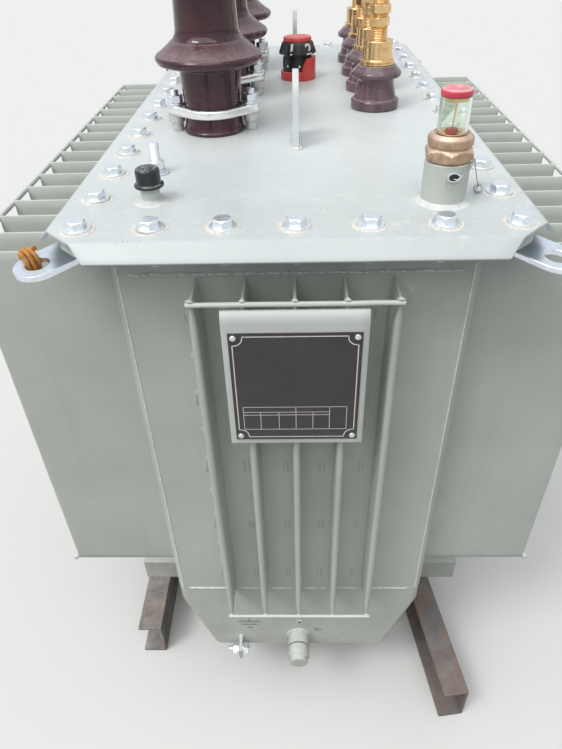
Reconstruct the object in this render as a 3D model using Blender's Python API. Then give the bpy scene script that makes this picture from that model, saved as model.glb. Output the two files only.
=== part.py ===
"""Oil-filled power transformer with corrugated tank walls, standing on two loose steel channels.

Metres, +Z up. X runs across the transformer, Y runs from the filler end to the back, and the
origin is the middle of the cover's plan on the floor. Everything is placed from the bolt pitch
of the cover, the fin pitches and the heights of the stack from the floor to the cover.
"""
import math

import bmesh
import bpy
from mathutils import Matrix, Vector

for thing in list(bpy.data.objects):
    bpy.data.objects.remove(thing, do_unlink=True)

# Clearance between pieces that touch, and the overlap of pieces that are one casting or weld.
GAP = 0.0003
SINK = 0.002
OVERCUT = 0.004

# Cover bolts: seven across the front, thirteen along each side.
FRONT_BOLT_PITCH = 0.072
FRONT_BOLT_COUNT = 7
SIDE_BOLT_PITCH = 0.078
SIDE_BOLT_COUNT = 13
BOLT_X = FRONT_BOLT_PITCH * (FRONT_BOLT_COUNT - 1) / 2
BOLT_Y = SIDE_BOLT_PITCH * (SIDE_BOLT_COUNT - 1) / 2

# Stack of heights, from the floor up.
STAND_HEIGHT = 0.084
CROSS_HEIGHT = 0.052
TUB_HEIGHT = 0.175
WALL_HEIGHT = 0.6197
FLANGE_HEIGHT = 0.010
GASKET_HEIGHT = 0.005
COVER_SHEET = 0.005
CROSS_BOTTOM = STAND_HEIGHT + GAP
TUB_BOTTOM = CROSS_BOTTOM + CROSS_HEIGHT + GAP
WALL_BOTTOM = TUB_BOTTOM + TUB_HEIGHT + GAP
FLANGE_BOTTOM = WALL_BOTTOM + WALL_HEIGHT + GAP
GASKET_BOTTOM = FLANGE_BOTTOM + FLANGE_HEIGHT + GAP
COVER_BOTTOM = GASKET_BOTTOM + GASKET_HEIGHT + GAP
COVER_TOP = COVER_BOTTOM + COVER_SHEET

# Cover: fold lines, bent edge and cut corners.
FOLD_MARGIN = 0.0286
FOLD_X = BOLT_X + FOLD_MARGIN
FOLD_Y = BOLT_Y + FOLD_MARGIN
LIP_DROP = 0.016
CORNER_CUT = 0.0286
LIP_END_SLANT = 0.020
FLANGE_MARGIN = 0.019
GASKET_MARGIN = 0.014
FLANGE_CORNER_CUT = 0.020

# Tank.
SHEET = 0.004
WALL_INSET = 0.018
WALL_X = BOLT_X - WALL_INSET
WALL_Y = BOLT_Y - WALL_INSET
WALL_CORNER_RADIUS = 0.012
END_WALL_RETURN = 0.022
TUB_STRAIGHT = 0.036
TUB_BOTTOM_X = 0.1546
CORNER_STEPS = 4

# Fins: a folded sheet with a pocket inside, pinched flat at the top and the bottom.
FIN_WIDTH = 0.009
FIN_PINCHED_WIDTH = 0.004
FIN_PINCH_HEIGHT = 0.026
FIN_SHEET = 0.002
SIDE_FIN_COUNT = 17
SIDE_FIN_PITCH = 0.0505
SIDE_FIN_DEPTH = 0.174
SIDE_FIN_TOP_DROP = 0.053
SIDE_FIN_BOTTOM_RISE = 0.0106
END_FIN_COUNT = 5
END_FIN_PITCH = 0.053
END_FIN_DEPTH = 0.0486
END_FIN_TOP_DROP = 0.065
END_FIN_BOTTOM_RISE = 0.0016
TIE_ROD_RADIUS = 0.004
TIE_ROD_DROP = 0.012
TIE_ROD_SINK = 0.001
TIE_ROD_OVERHANG = 0.006
TIE_BAR_HEIGHT = 0.010
TIE_BAR_THICKNESS = 0.004
TIE_BAR_DROP = 0.002
TIE_BAR_OVERHANG = 0.006

# Lifting lugs welded to the cover.
LUG_THICKNESS = 0.008
LUG_LENGTH = 0.070
LUG_HEIGHT = 0.088
LUG_TOP_RADIUS = 0.030
LUG_HOLE_RADIUS = 0.014
LUG_X = 0.003
FRONT_LUG_Y = -0.201
BACK_LUG_Y = 0.322

# High voltage bushings, in a row on the left.
HV_X = -0.111
HV_FIRST_Y = -0.135
HV_PITCH = 0.195
HV_COUNT = 3
HV_FOOT_RADIUS = 0.043
HV_NECK_RADIUS = 0.0385
HV_BODY_RADIUS = 0.041
HV_SHED_RADIUS = 0.071
HV_UPPER_SHED_RADIUS = 0.062
HV_TOP_RADIUS = 0.029
HV_FOOT_HEIGHT = 0.004
HV_CLAMP_BOTTOM = 0.0225
HV_CLAMP_THICKNESS = 0.0118
HV_SHED_UNDERSIDE = 0.080
HV_SHED_RIM_BOTTOM = 0.087
HV_SHED_RIM_TOP = 0.0975
HV_SHED_SHOULDER = 0.1155
HV_UPPER_SHED_UNDERSIDE = 0.176
HV_UPPER_SHED_RIM_BOTTOM = 0.182
HV_UPPER_SHED_RIM_TOP = 0.1915
HV_UPPER_SHED_SHOULDER = 0.207
HV_SHED_CURVE = 1.06
HV_SHED_STEPS = 6
HV_SHED_EDGE = 0.004
HV_UPPER_TAPER = 0.002
HV_CLAMP_SHARPNESS = 6
HV_PORCELAIN_HEIGHT = 0.252
HV_EAR_REACH = 0.052
HV_EAR_RADIUS = 0.012
HV_CLAMP_RADIUS = 0.0445
HV_LEG_RADIUS = 0.011
HV_LEG_FOOT_RADIUS = 0.0065
HV_CAP_RADIUS = 0.024
HV_CAP_HEIGHT = 0.014
HV_STUD_RADIUS = 0.006
HV_STUD_HEIGHT = 0.048
HV_NUT_RADIUS = 0.011
HV_NUT_HEIGHT = 0.010

# Low voltage bushings, in a row on the right.
LV_X = 0.123
LV_FIRST_Y = -0.036
LV_PITCH = 0.116
LV_COUNT = 4
LV_FOOT_RADIUS = 0.036
LV_FOOT_HEIGHT = 0.014
LV_BODY_RADIUS = 0.0305
LV_NECK_RADIUS = 0.0265
LV_SHED_RADIUS = 0.037
LV_SHOULDER_HEIGHT = 0.019
LV_SHED_UNDERSIDE = 0.041
LV_SHED_RIM_BOTTOM = 0.045
LV_SHED_RIM_TOP = 0.051
LV_TOP_RADIUS = 0.026
LV_PORCELAIN_HEIGHT = 0.060
LV_RING_RADIUS = 0.0245
LV_RING_HEIGHT = 0.006
LV_SLEEVE_RADIUS = 0.0212
LV_SLEEVE_HEIGHT = 0.025
LV_STUD_RADIUS = 0.0123
LV_STUD_HEIGHT = 0.105
LV_NUT_RADIUS = 0.0148
LV_LOWER_NUT_BOTTOM = 0.048
LV_NUT_HEIGHT = 0.012
LV_UPPER_NUT_BOTTOM = 0.064

# Tap changer: a red base with a raised guard, a black body, and a knob with six panels.
TAP_X = 0.007
TAP_Y = 0.172
TAP_BASE_RADIUS = 0.030
TAP_BASE_HEIGHT = 0.014
TAP_BODY_RADIUS = 0.026
TAP_BODY_HEIGHT = 0.036
TAP_GUARD_RADIUS = 0.032
TAP_GUARD_BOTTOM = 0.002
TAP_GUARD_START = math.radians(15)
TAP_GUARD_HALFWAY = math.radians(24)
TAP_GUARD_FULL = math.radians(38)
TAP_GUARD_END = math.radians(110)
TAP_GUARD_HALFWAY_HEIGHT = 0.031
TAP_GUARD_STEPS = 8
TAP_KNOB_CLEARANCE = 0.005
TAP_KNOB_RADIUS = 0.033
TAP_KNOB_TOP_RADIUS = 0.0262
TAP_KNOB_HEIGHT = 0.019
TAP_PIN_CLEARANCE = 0.001
TAP_PIN_RADIUS = 0.008
TAP_PIN_SHORT = 0.003
TAP_CAP_RADIUS = 0.0243
TAP_CAP_HEIGHT = 0.008
TAP_PANEL_COUNT = 6
TAP_PANEL_STEPS = 8
TAP_GROOVE_DEPTH = 0.0015
TAP_PANEL_TURN = math.radians(-20)

# Oil gauge on its pipe, at the right of the filler end.
GAUGE_X = 0.155
GAUGE_Y = -0.408
GAUGE_PIPE_RADIUS = 0.0228
GAUGE_PIPE_HEIGHT = 0.0418
GAUGE_NUT_RADIUS = 0.0257
GAUGE_NUT_HEIGHT = 0.0135
GAUGE_NUT_TURN = math.radians(40)
GAUGE_COLLAR_RADIUS = 0.0224
GAUGE_COLLAR_HEIGHT = 0.013
GAUGE_GLASS_RADIUS = 0.015
GAUGE_GLASS_WALL = 0.003
GAUGE_GLASS_HEIGHT = 0.033
GAUGE_CAP_RADIUS = 0.0153
GAUGE_CAP_HEIGHT = 0.007

# Filler stub and its cap, at the left of the filler end.
FILLER_X = -0.1525
FILLER_Y = -0.397
FILLER_STUB_RADIUS = 0.0103
FILLER_STUB_HEIGHT = 0.012
FILLER_SKIRT_RADIUS = 0.0158
FILLER_SKIRT_HEIGHT = 0.008
FILLER_CAP_RADIUS = 0.0132
FILLER_CAP_HEIGHT = 0.0245
FILLER_CAP_ROUNDING = 0.004

# Lifting eyes at the four corners of the tank.
EYE_THICKNESS = 0.006
EYE_WIDTH = 0.050
EYE_HOLE_RADIUS = 0.0125
EYE_HOLE_X = 0.258
EYE_HOLE_INSET = 0.009
EYE_ROOT_REACH = 0.088
EYE_HOLE_DROP = 0.0345
EYE_ROOT_DROP = 0.0262
EYE_ARC_STEPS = 10

# Core and windings, hidden in the tank: three coils between two yokes, drawn plain.
COIL_RADIUS = 0.130
CORE_END_CLEARANCE = 0.046
COIL_COUNT = 3
COIL_HEIGHT = 0.45
YOKE_HALF_WIDTH = 0.060
YOKE_HEIGHT = 0.090

# Rating plate and the bent sheet that holds it.
BRACKET_HALF_WIDTH = 0.0765
BRACKET_TOP_DROP = 0.077
BRACKET_BOTTOM_DROP = 0.257
BRACKET_SHEET = 0.002
BRACKET_STAND_OFF = 0.006
PLATE_HALF_WIDTH = 0.070
PLATE_TOP_DROP = 0.098
PLATE_BOTTOM_DROP = 0.247
PLATE_THICKNESS = 0.001

# Drain fitting and earthing lug on the tub's front.
DRAIN_X = -0.001
DRAIN_RISE = 0.0289
DRAIN_RADIUS = 0.019
DRAIN_LENGTH = 0.022
DRAIN_CAP_RADIUS = 0.017
DRAIN_CAP_LENGTH = 0.020
EARTH_TAB_X = -0.104
EARTH_TAB_THICKNESS = 0.005
EARTH_TAB_DEPTH = 0.030
EARTH_TAB_HEIGHT = 0.026
EARTH_TAB_TOP_RISE = 0.0279
EARTH_HOLE_RADIUS = 0.0065
EARTH_HOLE_INSET = 0.012

# Cross members under the tub and the loose channels they stand on.
CROSS_HALF_LENGTH = 0.320
CROSS_FRONT_Y = -0.278
CROSS_FLANGE = 0.032
CROSS_WEB = 0.005
STAND_FLANGE = 0.0455
STAND_WEB = 0.006
STAND_LENGTH = 0.9113
LEFT_STAND_INSET = 0.0485
LEFT_STAND_FRONT_Y = -0.393
RIGHT_STAND_INSET = 0.018
RIGHT_STAND_FRONT_Y = -0.512
RIGHT_STAND_TURN = math.radians(8)

ROUND_STEPS = 32
SMALL_ROUND_STEPS = 20
ROD_STEPS = 10
HEX_STEPS = 6


def material(name, colour, roughness, metallic=0, transmission=0):
    made = bpy.data.materials.new(name)
    made.use_nodes = True
    shader = made.node_tree.nodes["Principled BSDF"]
    shader.inputs["Base Color"].default_value = (*colour, 1)
    shader.inputs["Roughness"].default_value = roughness
    shader.inputs["Metallic"].default_value = metallic
    shader.inputs["Transmission Weight"].default_value = transmission
    return made


TANK_PAINT = ((0.31, 0.35, 0.31), 0.45)
COVER_PAINT = ((0.50, 0.54, 0.52), 0.5)
PORCELAIN = ((0.055, 0.018, 0.018), 0.12)
CAST_ALUMINIUM = ((0.62, 0.62, 0.60), 0.4, 0.9)
BRASS = ((0.62, 0.42, 0.16), 0.3, 1)
BRONZE = ((0.42, 0.25, 0.15), 0.4, 1)
ZINC = ((0.66, 0.70, 0.74), 0.3, 1)
RED_PLASTIC = ((0.72, 0.04, 0.03), 0.35)
BLACK_PLASTIC = ((0.012, 0.012, 0.013), 0.4)
RUBBER = ((0.03, 0.03, 0.03), 0.7)
GLASS = ((0.80, 0.88, 0.82), 0.05, 0, 0.8)
RUSTY_STEEL = ((0.28, 0.13, 0.06), 0.85)
BARE_STEEL = ((0.35, 0.35, 0.36), 0.5, 1)


def place(name, shape, look):
    """Turn a bmesh into a named object with its own material."""
    bmesh.ops.recalc_face_normals(shape, faces=shape.faces)
    mesh = bpy.data.meshes.new(name)
    shape.to_mesh(mesh)
    shape.free()
    made = bpy.data.objects.new(name, mesh)
    bpy.context.scene.collection.objects.link(made)
    if look:
        mesh.materials.append(material(name, *look))
    return made


CUTTERS = bpy.data.collections.new("cutters")
bpy.context.scene.collection.children.link(CUTTERS)


def combine(target, name, shape, operation):
    """Add a Boolean to the target, with its tool kept in the cutters' collection."""
    tool = place(name, shape, None)
    bpy.context.scene.collection.objects.unlink(tool)
    CUTTERS.objects.link(tool)
    tool.hide_render = True
    tool.display_type = "WIRE"
    step = target.modifiers.new(name, "BOOLEAN")
    step.operation = operation
    step.solver = "EXACT"
    step.object = tool


def loft(shape, rings):
    """Skin closed rings of points in order and close both ends."""
    rows = [[shape.verts.new(point) for point in ring] for ring in rings]
    count = len(rows[0])
    for lower, upper in zip(rows, rows[1:]):
        for i in range(count):
            j = (i + 1) % count
            shape.faces.new((lower[i], lower[j], upper[j], upper[i]))
    shape.faces.new(tuple(reversed(rows[0])))
    shape.faces.new(tuple(rows[-1]))
    return rows


def prism(shape, outline, start, end, axis):
    """Extrude a plan outline along an axis between two stations."""
    def lift(point, station):
        a, b = point
        if axis == "X":
            return station, a, b
        if axis == "Y":
            return a, station, b
        return a, b, station
    face = shape.faces.new([shape.verts.new(lift(point, start)) for point in outline])
    grown = bmesh.ops.extrude_face_region(shape, geom=[face])["geom"]
    moved = [item for item in grown if isinstance(item, bmesh.types.BMVert)]
    bmesh.ops.translate(shape, verts=moved, vec=Vector(lift((0, 0), end - start)))


def box(shape, low, high):
    verts = bmesh.ops.create_cube(shape, size=1)["verts"]
    bmesh.ops.scale(shape, verts=verts, vec=Vector(high) - Vector(low))
    bmesh.ops.translate(shape, verts=verts, vec=(Vector(high) + Vector(low)) / 2)


def ring_prism(shape, outer, inner, bottom, top):
    """A frame between two outlines that have the same number of points."""
    levels = []
    for outline, height in ((outer, bottom), (outer, top), (inner, top), (inner, bottom)):
        levels.append([shape.verts.new((a, b, height)) for a, b in outline])
    count = len(outer)
    for lower, upper in zip(levels, levels[1:] + levels[:1]):
        for i in range(count):
            j = (i + 1) % count
            shape.faces.new((lower[i], lower[j], upper[j], upper[i]))


def circle(radius, steps, turn=0):
    points = []
    for i in range(steps):
        angle = math.tau * i / steps + turn
        points.append((radius * math.cos(angle), radius * math.sin(angle)))
    return points


def lathe(shape, profile, steps, centre, direction="Z", turn=0):
    """Turn a profile of (radius, height) pairs; its ends are closed by flat caps."""
    earlier = set(shape.verts)
    side = [shape.verts.new((radius * math.cos(turn), radius * math.sin(turn), height)) for radius, height in profile]
    lines = [shape.edges.new(pair) for pair in zip(side, side[1:])]
    bmesh.ops.spin(shape, geom=side + lines, cent=(0, 0, 0), axis=(0, 0, 1), angle=math.tau, steps=steps,
                   use_merge=True)
    verts = [vert for vert in shape.verts if vert not in earlier]
    rims = [edge for edge in shape.edges if edge.is_boundary]
    bmesh.ops.holes_fill(shape, edges=rims, sides=0)
    if direction == "-Y":
        bmesh.ops.rotate(shape, verts=verts, matrix=Matrix.Rotation(math.pi / 2, 3, "X"))
    bmesh.ops.translate(shape, verts=verts, vec=Vector(centre))
    return verts


def rounded_rectangle(half_x, half_y, radius):
    points = []
    corners = ((1, 1, 0), (-1, 1, 1), (-1, -1, 2), (1, -1, 3))
    for side_x, side_y, quarter in corners:
        for i in range(CORNER_STEPS + 1):
            angle = math.pi / 2 * (quarter + i / CORNER_STEPS)
            x = side_x * (half_x - radius) + radius * math.cos(angle)
            y = side_y * (half_y - radius) + radius * math.sin(angle)
            points.append((x, y))
    return points


def at_height(outline, height):
    return [(x, y, height) for x, y in outline]


def down(drop):
    """Height of something given by its drop below the cover's top."""
    return COVER_TOP - drop


# Stand channels: the left one opens to the left, the right one opens to the left and toes out.
def channel_outline(flange, height, web, side):
    reach = side * flange
    return ((0, 0), (reach, 0), (reach, web), (side * web, web), (side * web, height - web),
            (reach, height - web), (reach, height), (0, height))


def stand_channel(name, x, front_y, turn):
    shape = bmesh.new()
    outline = channel_outline(STAND_FLANGE, STAND_HEIGHT, STAND_WEB, -1)
    prism(shape, outline, 0, STAND_LENGTH, "Y")
    bmesh.ops.rotate(shape, verts=shape.verts, matrix=Matrix.Rotation(turn, 3, "Z"))
    bmesh.ops.translate(shape, verts=shape.verts, vec=Vector((x, front_y, 0)))
    place(name, shape, RUSTY_STEEL)


stand_channel("stand_channel_left", LEFT_STAND_INSET - CROSS_HALF_LENGTH, LEFT_STAND_FRONT_Y, 0)
stand_channel("stand_channel_right", CROSS_HALF_LENGTH - RIGHT_STAND_INSET, RIGHT_STAND_FRONT_Y, RIGHT_STAND_TURN)


def cross_member(name, side):
    shape = bmesh.new()
    outline = channel_outline(CROSS_FLANGE, CROSS_HEIGHT, CROSS_WEB, 1)
    placed = [(side * (CROSS_FRONT_Y + a), CROSS_BOTTOM + b) for a, b in outline]
    prism(shape, placed, -CROSS_HALF_LENGTH, CROSS_HALF_LENGTH, "X")
    place(name, shape, TANK_PAINT)


cross_member("cross_member_front", 1)
cross_member("cross_member_back", -1)

# Tub: the lower part of the tank, with sloping lower sides, open at the top.
tub = bmesh.new()
tub_top = TUB_BOTTOM + TUB_HEIGHT
tub_bend = tub_top - TUB_STRAIGHT
outer_plan = rounded_rectangle(WALL_X, WALL_Y, WALL_CORNER_RADIUS)
outer_foot = rounded_rectangle(TUB_BOTTOM_X, WALL_Y, WALL_CORNER_RADIUS)
inner_radius = WALL_CORNER_RADIUS - SHEET
inner_plan = rounded_rectangle(WALL_X - SHEET, WALL_Y - SHEET, inner_radius)
inner_foot = rounded_rectangle(TUB_BOTTOM_X - SHEET, WALL_Y - SHEET, inner_radius)
loft(tub, [at_height(outer_foot, TUB_BOTTOM), at_height(outer_plan, tub_bend),
           at_height(outer_plan, tub_top), at_height(inner_plan, tub_top),
           at_height(inner_plan, tub_bend), at_height(inner_foot, TUB_BOTTOM + SHEET)])
tub_node = place("tank_bottom", tub, TANK_PAINT)

# Drain socket and earthing tab, welded to the tub's front, and the screwed drain cap.
front_face = -WALL_Y
drain_height = TUB_BOTTOM + DRAIN_RISE
shape = bmesh.new()
lathe(shape, ((DRAIN_RADIUS, -SINK), (DRAIN_RADIUS, DRAIN_LENGTH)), ROUND_STEPS,
      (DRAIN_X, front_face, drain_height), "-Y")
combine(tub_node, "drain_socket", shape, "UNION")
shape = bmesh.new()
tab_top = TUB_BOTTOM + EARTH_TAB_TOP_RISE
tab_low = tab_top - EARTH_TAB_HEIGHT
tab_front = front_face - EARTH_TAB_DEPTH
outline = ((front_face + SINK, tab_top), (tab_front, tab_top), (tab_front, tab_low), (front_face + SINK, tab_low))
tab_half = EARTH_TAB_THICKNESS / 2
prism(shape, outline, EARTH_TAB_X - tab_half, EARTH_TAB_X + tab_half, "X")
combine(tub_node, "earth_tab", shape, "UNION")
shape = bmesh.new()
hole = [(tab_front + EARTH_HOLE_INSET + a, (tab_top + tab_low) / 2 + b)
        for a, b in circle(EARTH_HOLE_RADIUS, SMALL_ROUND_STEPS)]
prism(shape, hole, EARTH_TAB_X - EARTH_TAB_THICKNESS, EARTH_TAB_X + EARTH_TAB_THICKNESS, "X")
combine(tub_node, "earth_hole", shape, "DIFFERENCE")
shape = bmesh.new()
lathe(shape, ((DRAIN_CAP_RADIUS, DRAIN_LENGTH + GAP), (DRAIN_CAP_RADIUS, DRAIN_LENGTH + DRAIN_CAP_LENGTH)),
      ROUND_STEPS, (DRAIN_X, front_face, drain_height), "-Y")
place("drain_cap", shape, TANK_PAINT)

# Core and windings stand on the tub's floor: three coils, joined by a yoke below and one above.
core_bottom = TUB_BOTTOM + SHEET + GAP
coil_bottom = core_bottom + YOKE_HEIGHT
coil_top = coil_bottom + COIL_HEIGHT
end_coil_y = WALL_Y - SHEET - CORE_END_CLEARANCE - COIL_RADIUS
coil_pitch = end_coil_y * 2 / (COIL_COUNT - 1)
yoke_reach = end_coil_y + YOKE_HALF_WIDTH
shape = bmesh.new()
box(shape, (-YOKE_HALF_WIDTH, -yoke_reach, core_bottom), (YOKE_HALF_WIDTH, yoke_reach, coil_bottom + SINK))
core_node = place("core_and_windings", shape, BARE_STEEL)
for i in range(COIL_COUNT):
    coil = bmesh.new()
    coil_y = i * coil_pitch - end_coil_y
    lathe(coil, ((COIL_RADIUS, coil_bottom), (COIL_RADIUS, coil_top)), ROUND_STEPS, (0, coil_y, 0))
    combine(core_node, f"coil_{i + 1}", coil, "UNION")
yoke = bmesh.new()
box(yoke, (-YOKE_HALF_WIDTH, -yoke_reach, coil_top - SINK), (YOKE_HALF_WIDTH, yoke_reach, coil_top + YOKE_HEIGHT))
combine(core_node, "upper_yoke", yoke, "UNION")


def fin_blank(shape, centre, root, tip, bottom, top, along):
    """One fin as a solid that narrows to a flat seam at both ends."""
    rings = []
    levels = ((bottom, FIN_PINCHED_WIDTH), (bottom + FIN_PINCH_HEIGHT, FIN_WIDTH),
              (top - FIN_PINCH_HEIGHT, FIN_WIDTH), (top, FIN_PINCHED_WIDTH))
    for height, width in levels:
        a, b = centre - width / 2, centre + width / 2
        if along == "X":
            rings.append([(root, a, height), (tip, a, height), (tip, b, height), (root, b, height)])
        else:
            rings.append([(a, root, height), (b, root, height), (b, tip, height), (a, tip, height)])
    loft(shape, rings)


def fin_pocket(shape, centre, mouth, end, bottom, top, along):
    """The oil space of one fin, open to the inside of the tank."""
    half = FIN_WIDTH / 2 - FIN_SHEET
    low = bottom + FIN_PINCH_HEIGHT
    high = top - FIN_PINCH_HEIGHT
    if along == "X":
        outline = ((mouth, centre - half), (end, centre - half), (end, centre + half), (mouth, centre + half))
    else:
        outline = ((centre - half, mouth), (centre + half, mouth), (centre + half, end), (centre - half, end))
    prism(shape, outline, low, high, "Z")


def fin_places(count, pitch):
    return [(i - (count - 1) / 2) * pitch for i in range(count)]


def end_wall(name, side):
    """Front or back wall: a plate with rounded upright corners, five fins and two tie bars."""
    outline = []
    for half_x, start in ((-WALL_X, math.pi), (WALL_X, math.pi * 3 / 2)):
        outline.extend(wall_corner(half_x, start, WALL_CORNER_RADIUS, side))
    outline.insert(0, (-WALL_X, side * -(WALL_Y - END_WALL_RETURN)))
    outline.append((WALL_X, side * -(WALL_Y - END_WALL_RETURN)))
    inner = []
    for half_x, start in ((-WALL_X, math.pi), (WALL_X, math.pi * 3 / 2)):
        inner.extend(wall_corner(half_x, start, inner_radius, side))
    inner.insert(0, (-(WALL_X - SHEET), side * -(WALL_Y - END_WALL_RETURN)))
    inner.append((WALL_X - SHEET, side * -(WALL_Y - END_WALL_RETURN)))
    outline.extend(reversed(inner))
    shape = bmesh.new()
    prism(shape, outline, WALL_BOTTOM, WALL_BOTTOM + WALL_HEIGHT, "Z")
    wall = place(name, shape, TANK_PAINT)
    root = -side * (WALL_Y - SINK)
    tip = -side * (WALL_Y + END_FIN_DEPTH)
    bottom, top = WALL_BOTTOM + END_FIN_BOTTOM_RISE, down(END_FIN_TOP_DROP)
    fins = bmesh.new()
    pockets = bmesh.new()
    for x in fin_places(END_FIN_COUNT, END_FIN_PITCH):
        fin_blank(fins, x, root, tip, bottom, top, "Y")
        mouth = -side * (WALL_Y - SHEET - OVERCUT)
        end = -side * (WALL_Y + END_FIN_DEPTH - FIN_SHEET)
        fin_pocket(pockets, x, mouth, end, bottom, top, "Y")
    combine(wall, name + "_fins", fins, "UNION")
    bars = bmesh.new()
    reach = (END_FIN_COUNT - 1) / 2 * END_FIN_PITCH + TIE_BAR_OVERHANG
    near = -side * (WALL_Y + END_FIN_DEPTH - TIE_ROD_SINK)
    far = -side * (WALL_Y + END_FIN_DEPTH + TIE_BAR_THICKNESS)
    for low in (top - TIE_BAR_DROP - TIE_BAR_HEIGHT, bottom + TIE_BAR_DROP):
        box(bars, (-reach, min(near, far), low), (reach, max(near, far), low + TIE_BAR_HEIGHT))
    combine(wall, name + "_bars", bars, "UNION")
    combine(wall, name + "_pockets", pockets, "DIFFERENCE")


def wall_corner(half_x, start, radius, side):
    """Arc of an upright corner of the end walls, in plan."""
    points = []
    sign = 1 if half_x > 0 else -1
    for i in range(CORNER_STEPS + 1):
        angle = start + math.pi / 2 * i / CORNER_STEPS
        x = sign * (WALL_X - WALL_CORNER_RADIUS) + radius * math.cos(angle)
        y = -(WALL_Y - WALL_CORNER_RADIUS) + radius * math.sin(angle)
        points.append((x, side * y))
    return points


end_wall("tank_wall_front", 1)
end_wall("tank_wall_back", -1)


def side_wall(name, side):
    """Left or right wall: a plate with seventeen deep fins and two tie rods."""
    half_y = WALL_Y - END_WALL_RETURN - GAP
    shape = bmesh.new()
    near, far = side * (WALL_X - SHEET), side * WALL_X
    box(shape, (min(near, far), -half_y, WALL_BOTTOM), (max(near, far), half_y, WALL_BOTTOM + WALL_HEIGHT))
    wall = place(name, shape, TANK_PAINT)
    root = side * (WALL_X - SINK)
    tip = side * (WALL_X + SIDE_FIN_DEPTH)
    bottom, top = WALL_BOTTOM + SIDE_FIN_BOTTOM_RISE, down(SIDE_FIN_TOP_DROP)
    fins = bmesh.new()
    pockets = bmesh.new()
    for y in fin_places(SIDE_FIN_COUNT, SIDE_FIN_PITCH):
        fin_blank(fins, y, root, tip, bottom, top, "X")
        mouth = side * (WALL_X - SHEET - OVERCUT)
        end = side * (WALL_X + SIDE_FIN_DEPTH - FIN_SHEET)
        fin_pocket(pockets, y, mouth, end, bottom, top, "X")
    combine(wall, name + "_fins", fins, "UNION")
    rods = bmesh.new()
    reach = (SIDE_FIN_COUNT - 1) / 2 * SIDE_FIN_PITCH + TIE_ROD_OVERHANG
    centre_x = side * (WALL_X + SIDE_FIN_DEPTH + TIE_ROD_RADIUS - TIE_ROD_SINK)
    for height in (top - TIE_ROD_DROP, bottom + TIE_ROD_DROP):
        outline = [(centre_x + a, height + b) for a, b in circle(TIE_ROD_RADIUS, ROD_STEPS)]
        prism(rods, outline, -reach, reach, "Y")
    combine(wall, name + "_rods", rods, "UNION")
    combine(wall, name + "_pockets", pockets, "DIFFERENCE")


side_wall("tank_wall_left", -1)
side_wall("tank_wall_right", 1)


def cut_rectangle(half_x, half_y, cut):
    return ((half_x, -half_y + cut), (half_x, half_y - cut), (half_x - cut, half_y), (-half_x + cut, half_y),
            (-half_x, half_y - cut), (-half_x, -half_y + cut), (-half_x + cut, -half_y), (half_x - cut, -half_y))


def frame_ring(name, margin, bottom, height, look):
    shape = bmesh.new()
    outer = cut_rectangle(BOLT_X + margin, BOLT_Y + margin, FLANGE_CORNER_CUT)
    inner = cut_rectangle(WALL_X - FLANGE_CORNER_CUT, WALL_Y - FLANGE_CORNER_CUT, WALL_CORNER_RADIUS)
    ring_prism(shape, outer, inner, bottom, bottom + height)
    place(name, shape, look)


frame_ring("tank_flange", FLANGE_MARGIN, FLANGE_BOTTOM, FLANGE_HEIGHT, TANK_PAINT)
frame_ring("cover_gasket", GASKET_MARGIN, GASKET_BOTTOM, GASKET_HEIGHT, RUBBER)


def rectangle(half_x, half_y):
    return ((half_x, -half_y), (half_x, half_y), (-half_x, half_y), (-half_x, -half_y))


# Cover: a sheet with its four edges bent down at 45 degrees and its corners cut off.
cover_shape = bmesh.new()
loft(cover_shape, [at_height(rectangle(FOLD_X + LIP_DROP, FOLD_Y + LIP_DROP), COVER_TOP - LIP_DROP),
                   at_height(rectangle(FOLD_X, FOLD_Y), COVER_TOP)])
cover = place("tank_cover", cover_shape, COVER_PAINT)
hollow = bmesh.new()
slope_offset = COVER_SHEET * math.sqrt(2)
inside = FOLD_X + COVER_SHEET - slope_offset
inside_y = FOLD_Y + COVER_SHEET - slope_offset
run = LIP_DROP
loft(hollow, [at_height(rectangle(inside + run, inside_y + run), COVER_BOTTOM - run),
              at_height(rectangle(inside, inside_y), COVER_BOTTOM)])
combine(cover, "cover_hollow", hollow, "DIFFERENCE")
corner_tools = bmesh.new()
for side_x in (-1, 1):
    for side_y in (-1, 1):
        far_slant = 2 * LIP_END_SLANT
        far_drop = 2 * LIP_DROP
        outline = ((FOLD_X - CORNER_CUT, FOLD_Y), (FOLD_X - CORNER_CUT - far_slant, FOLD_Y + far_drop),
                   (FOLD_X + far_drop, FOLD_Y + far_drop), (FOLD_X + far_drop, FOLD_Y - CORNER_CUT - far_slant),
                   (FOLD_X, FOLD_Y - CORNER_CUT))
        turned = [(side_x * a, side_y * b) for a, b in outline]
        prism(corner_tools, turned, COVER_TOP - far_drop, COVER_TOP + far_drop, "Z")
combine(cover, "cover_corners", corner_tools, "DIFFERENCE")


def cover_lug(name, lug_y):
    """Lifting lug: an upright plate with a rounded head and a hole."""
    half = LUG_LENGTH / 2
    foot = COVER_TOP + GAP
    head = COVER_TOP + LUG_HEIGHT - LUG_TOP_RADIUS
    outline = [(lug_y - half, foot), (lug_y + half, foot)]
    for i in range(CORNER_STEPS * 2 + 1):
        angle = math.pi * i / (CORNER_STEPS * 2)
        outline.append((lug_y + LUG_TOP_RADIUS * math.cos(angle), head + LUG_TOP_RADIUS * math.sin(angle)))
    shape = bmesh.new()
    prism(shape, outline, LUG_X - LUG_THICKNESS / 2, LUG_X + LUG_THICKNESS / 2, "X")
    lug = place(name, shape, COVER_PAINT)
    tool = bmesh.new()
    hole = [(lug_y + a, head + b) for a, b in circle(LUG_HOLE_RADIUS, SMALL_ROUND_STEPS)]
    prism(tool, hole, LUG_X - LUG_THICKNESS, LUG_X + LUG_THICKNESS, "X")
    combine(lug, name + "_hole", tool, "DIFFERENCE")


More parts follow.
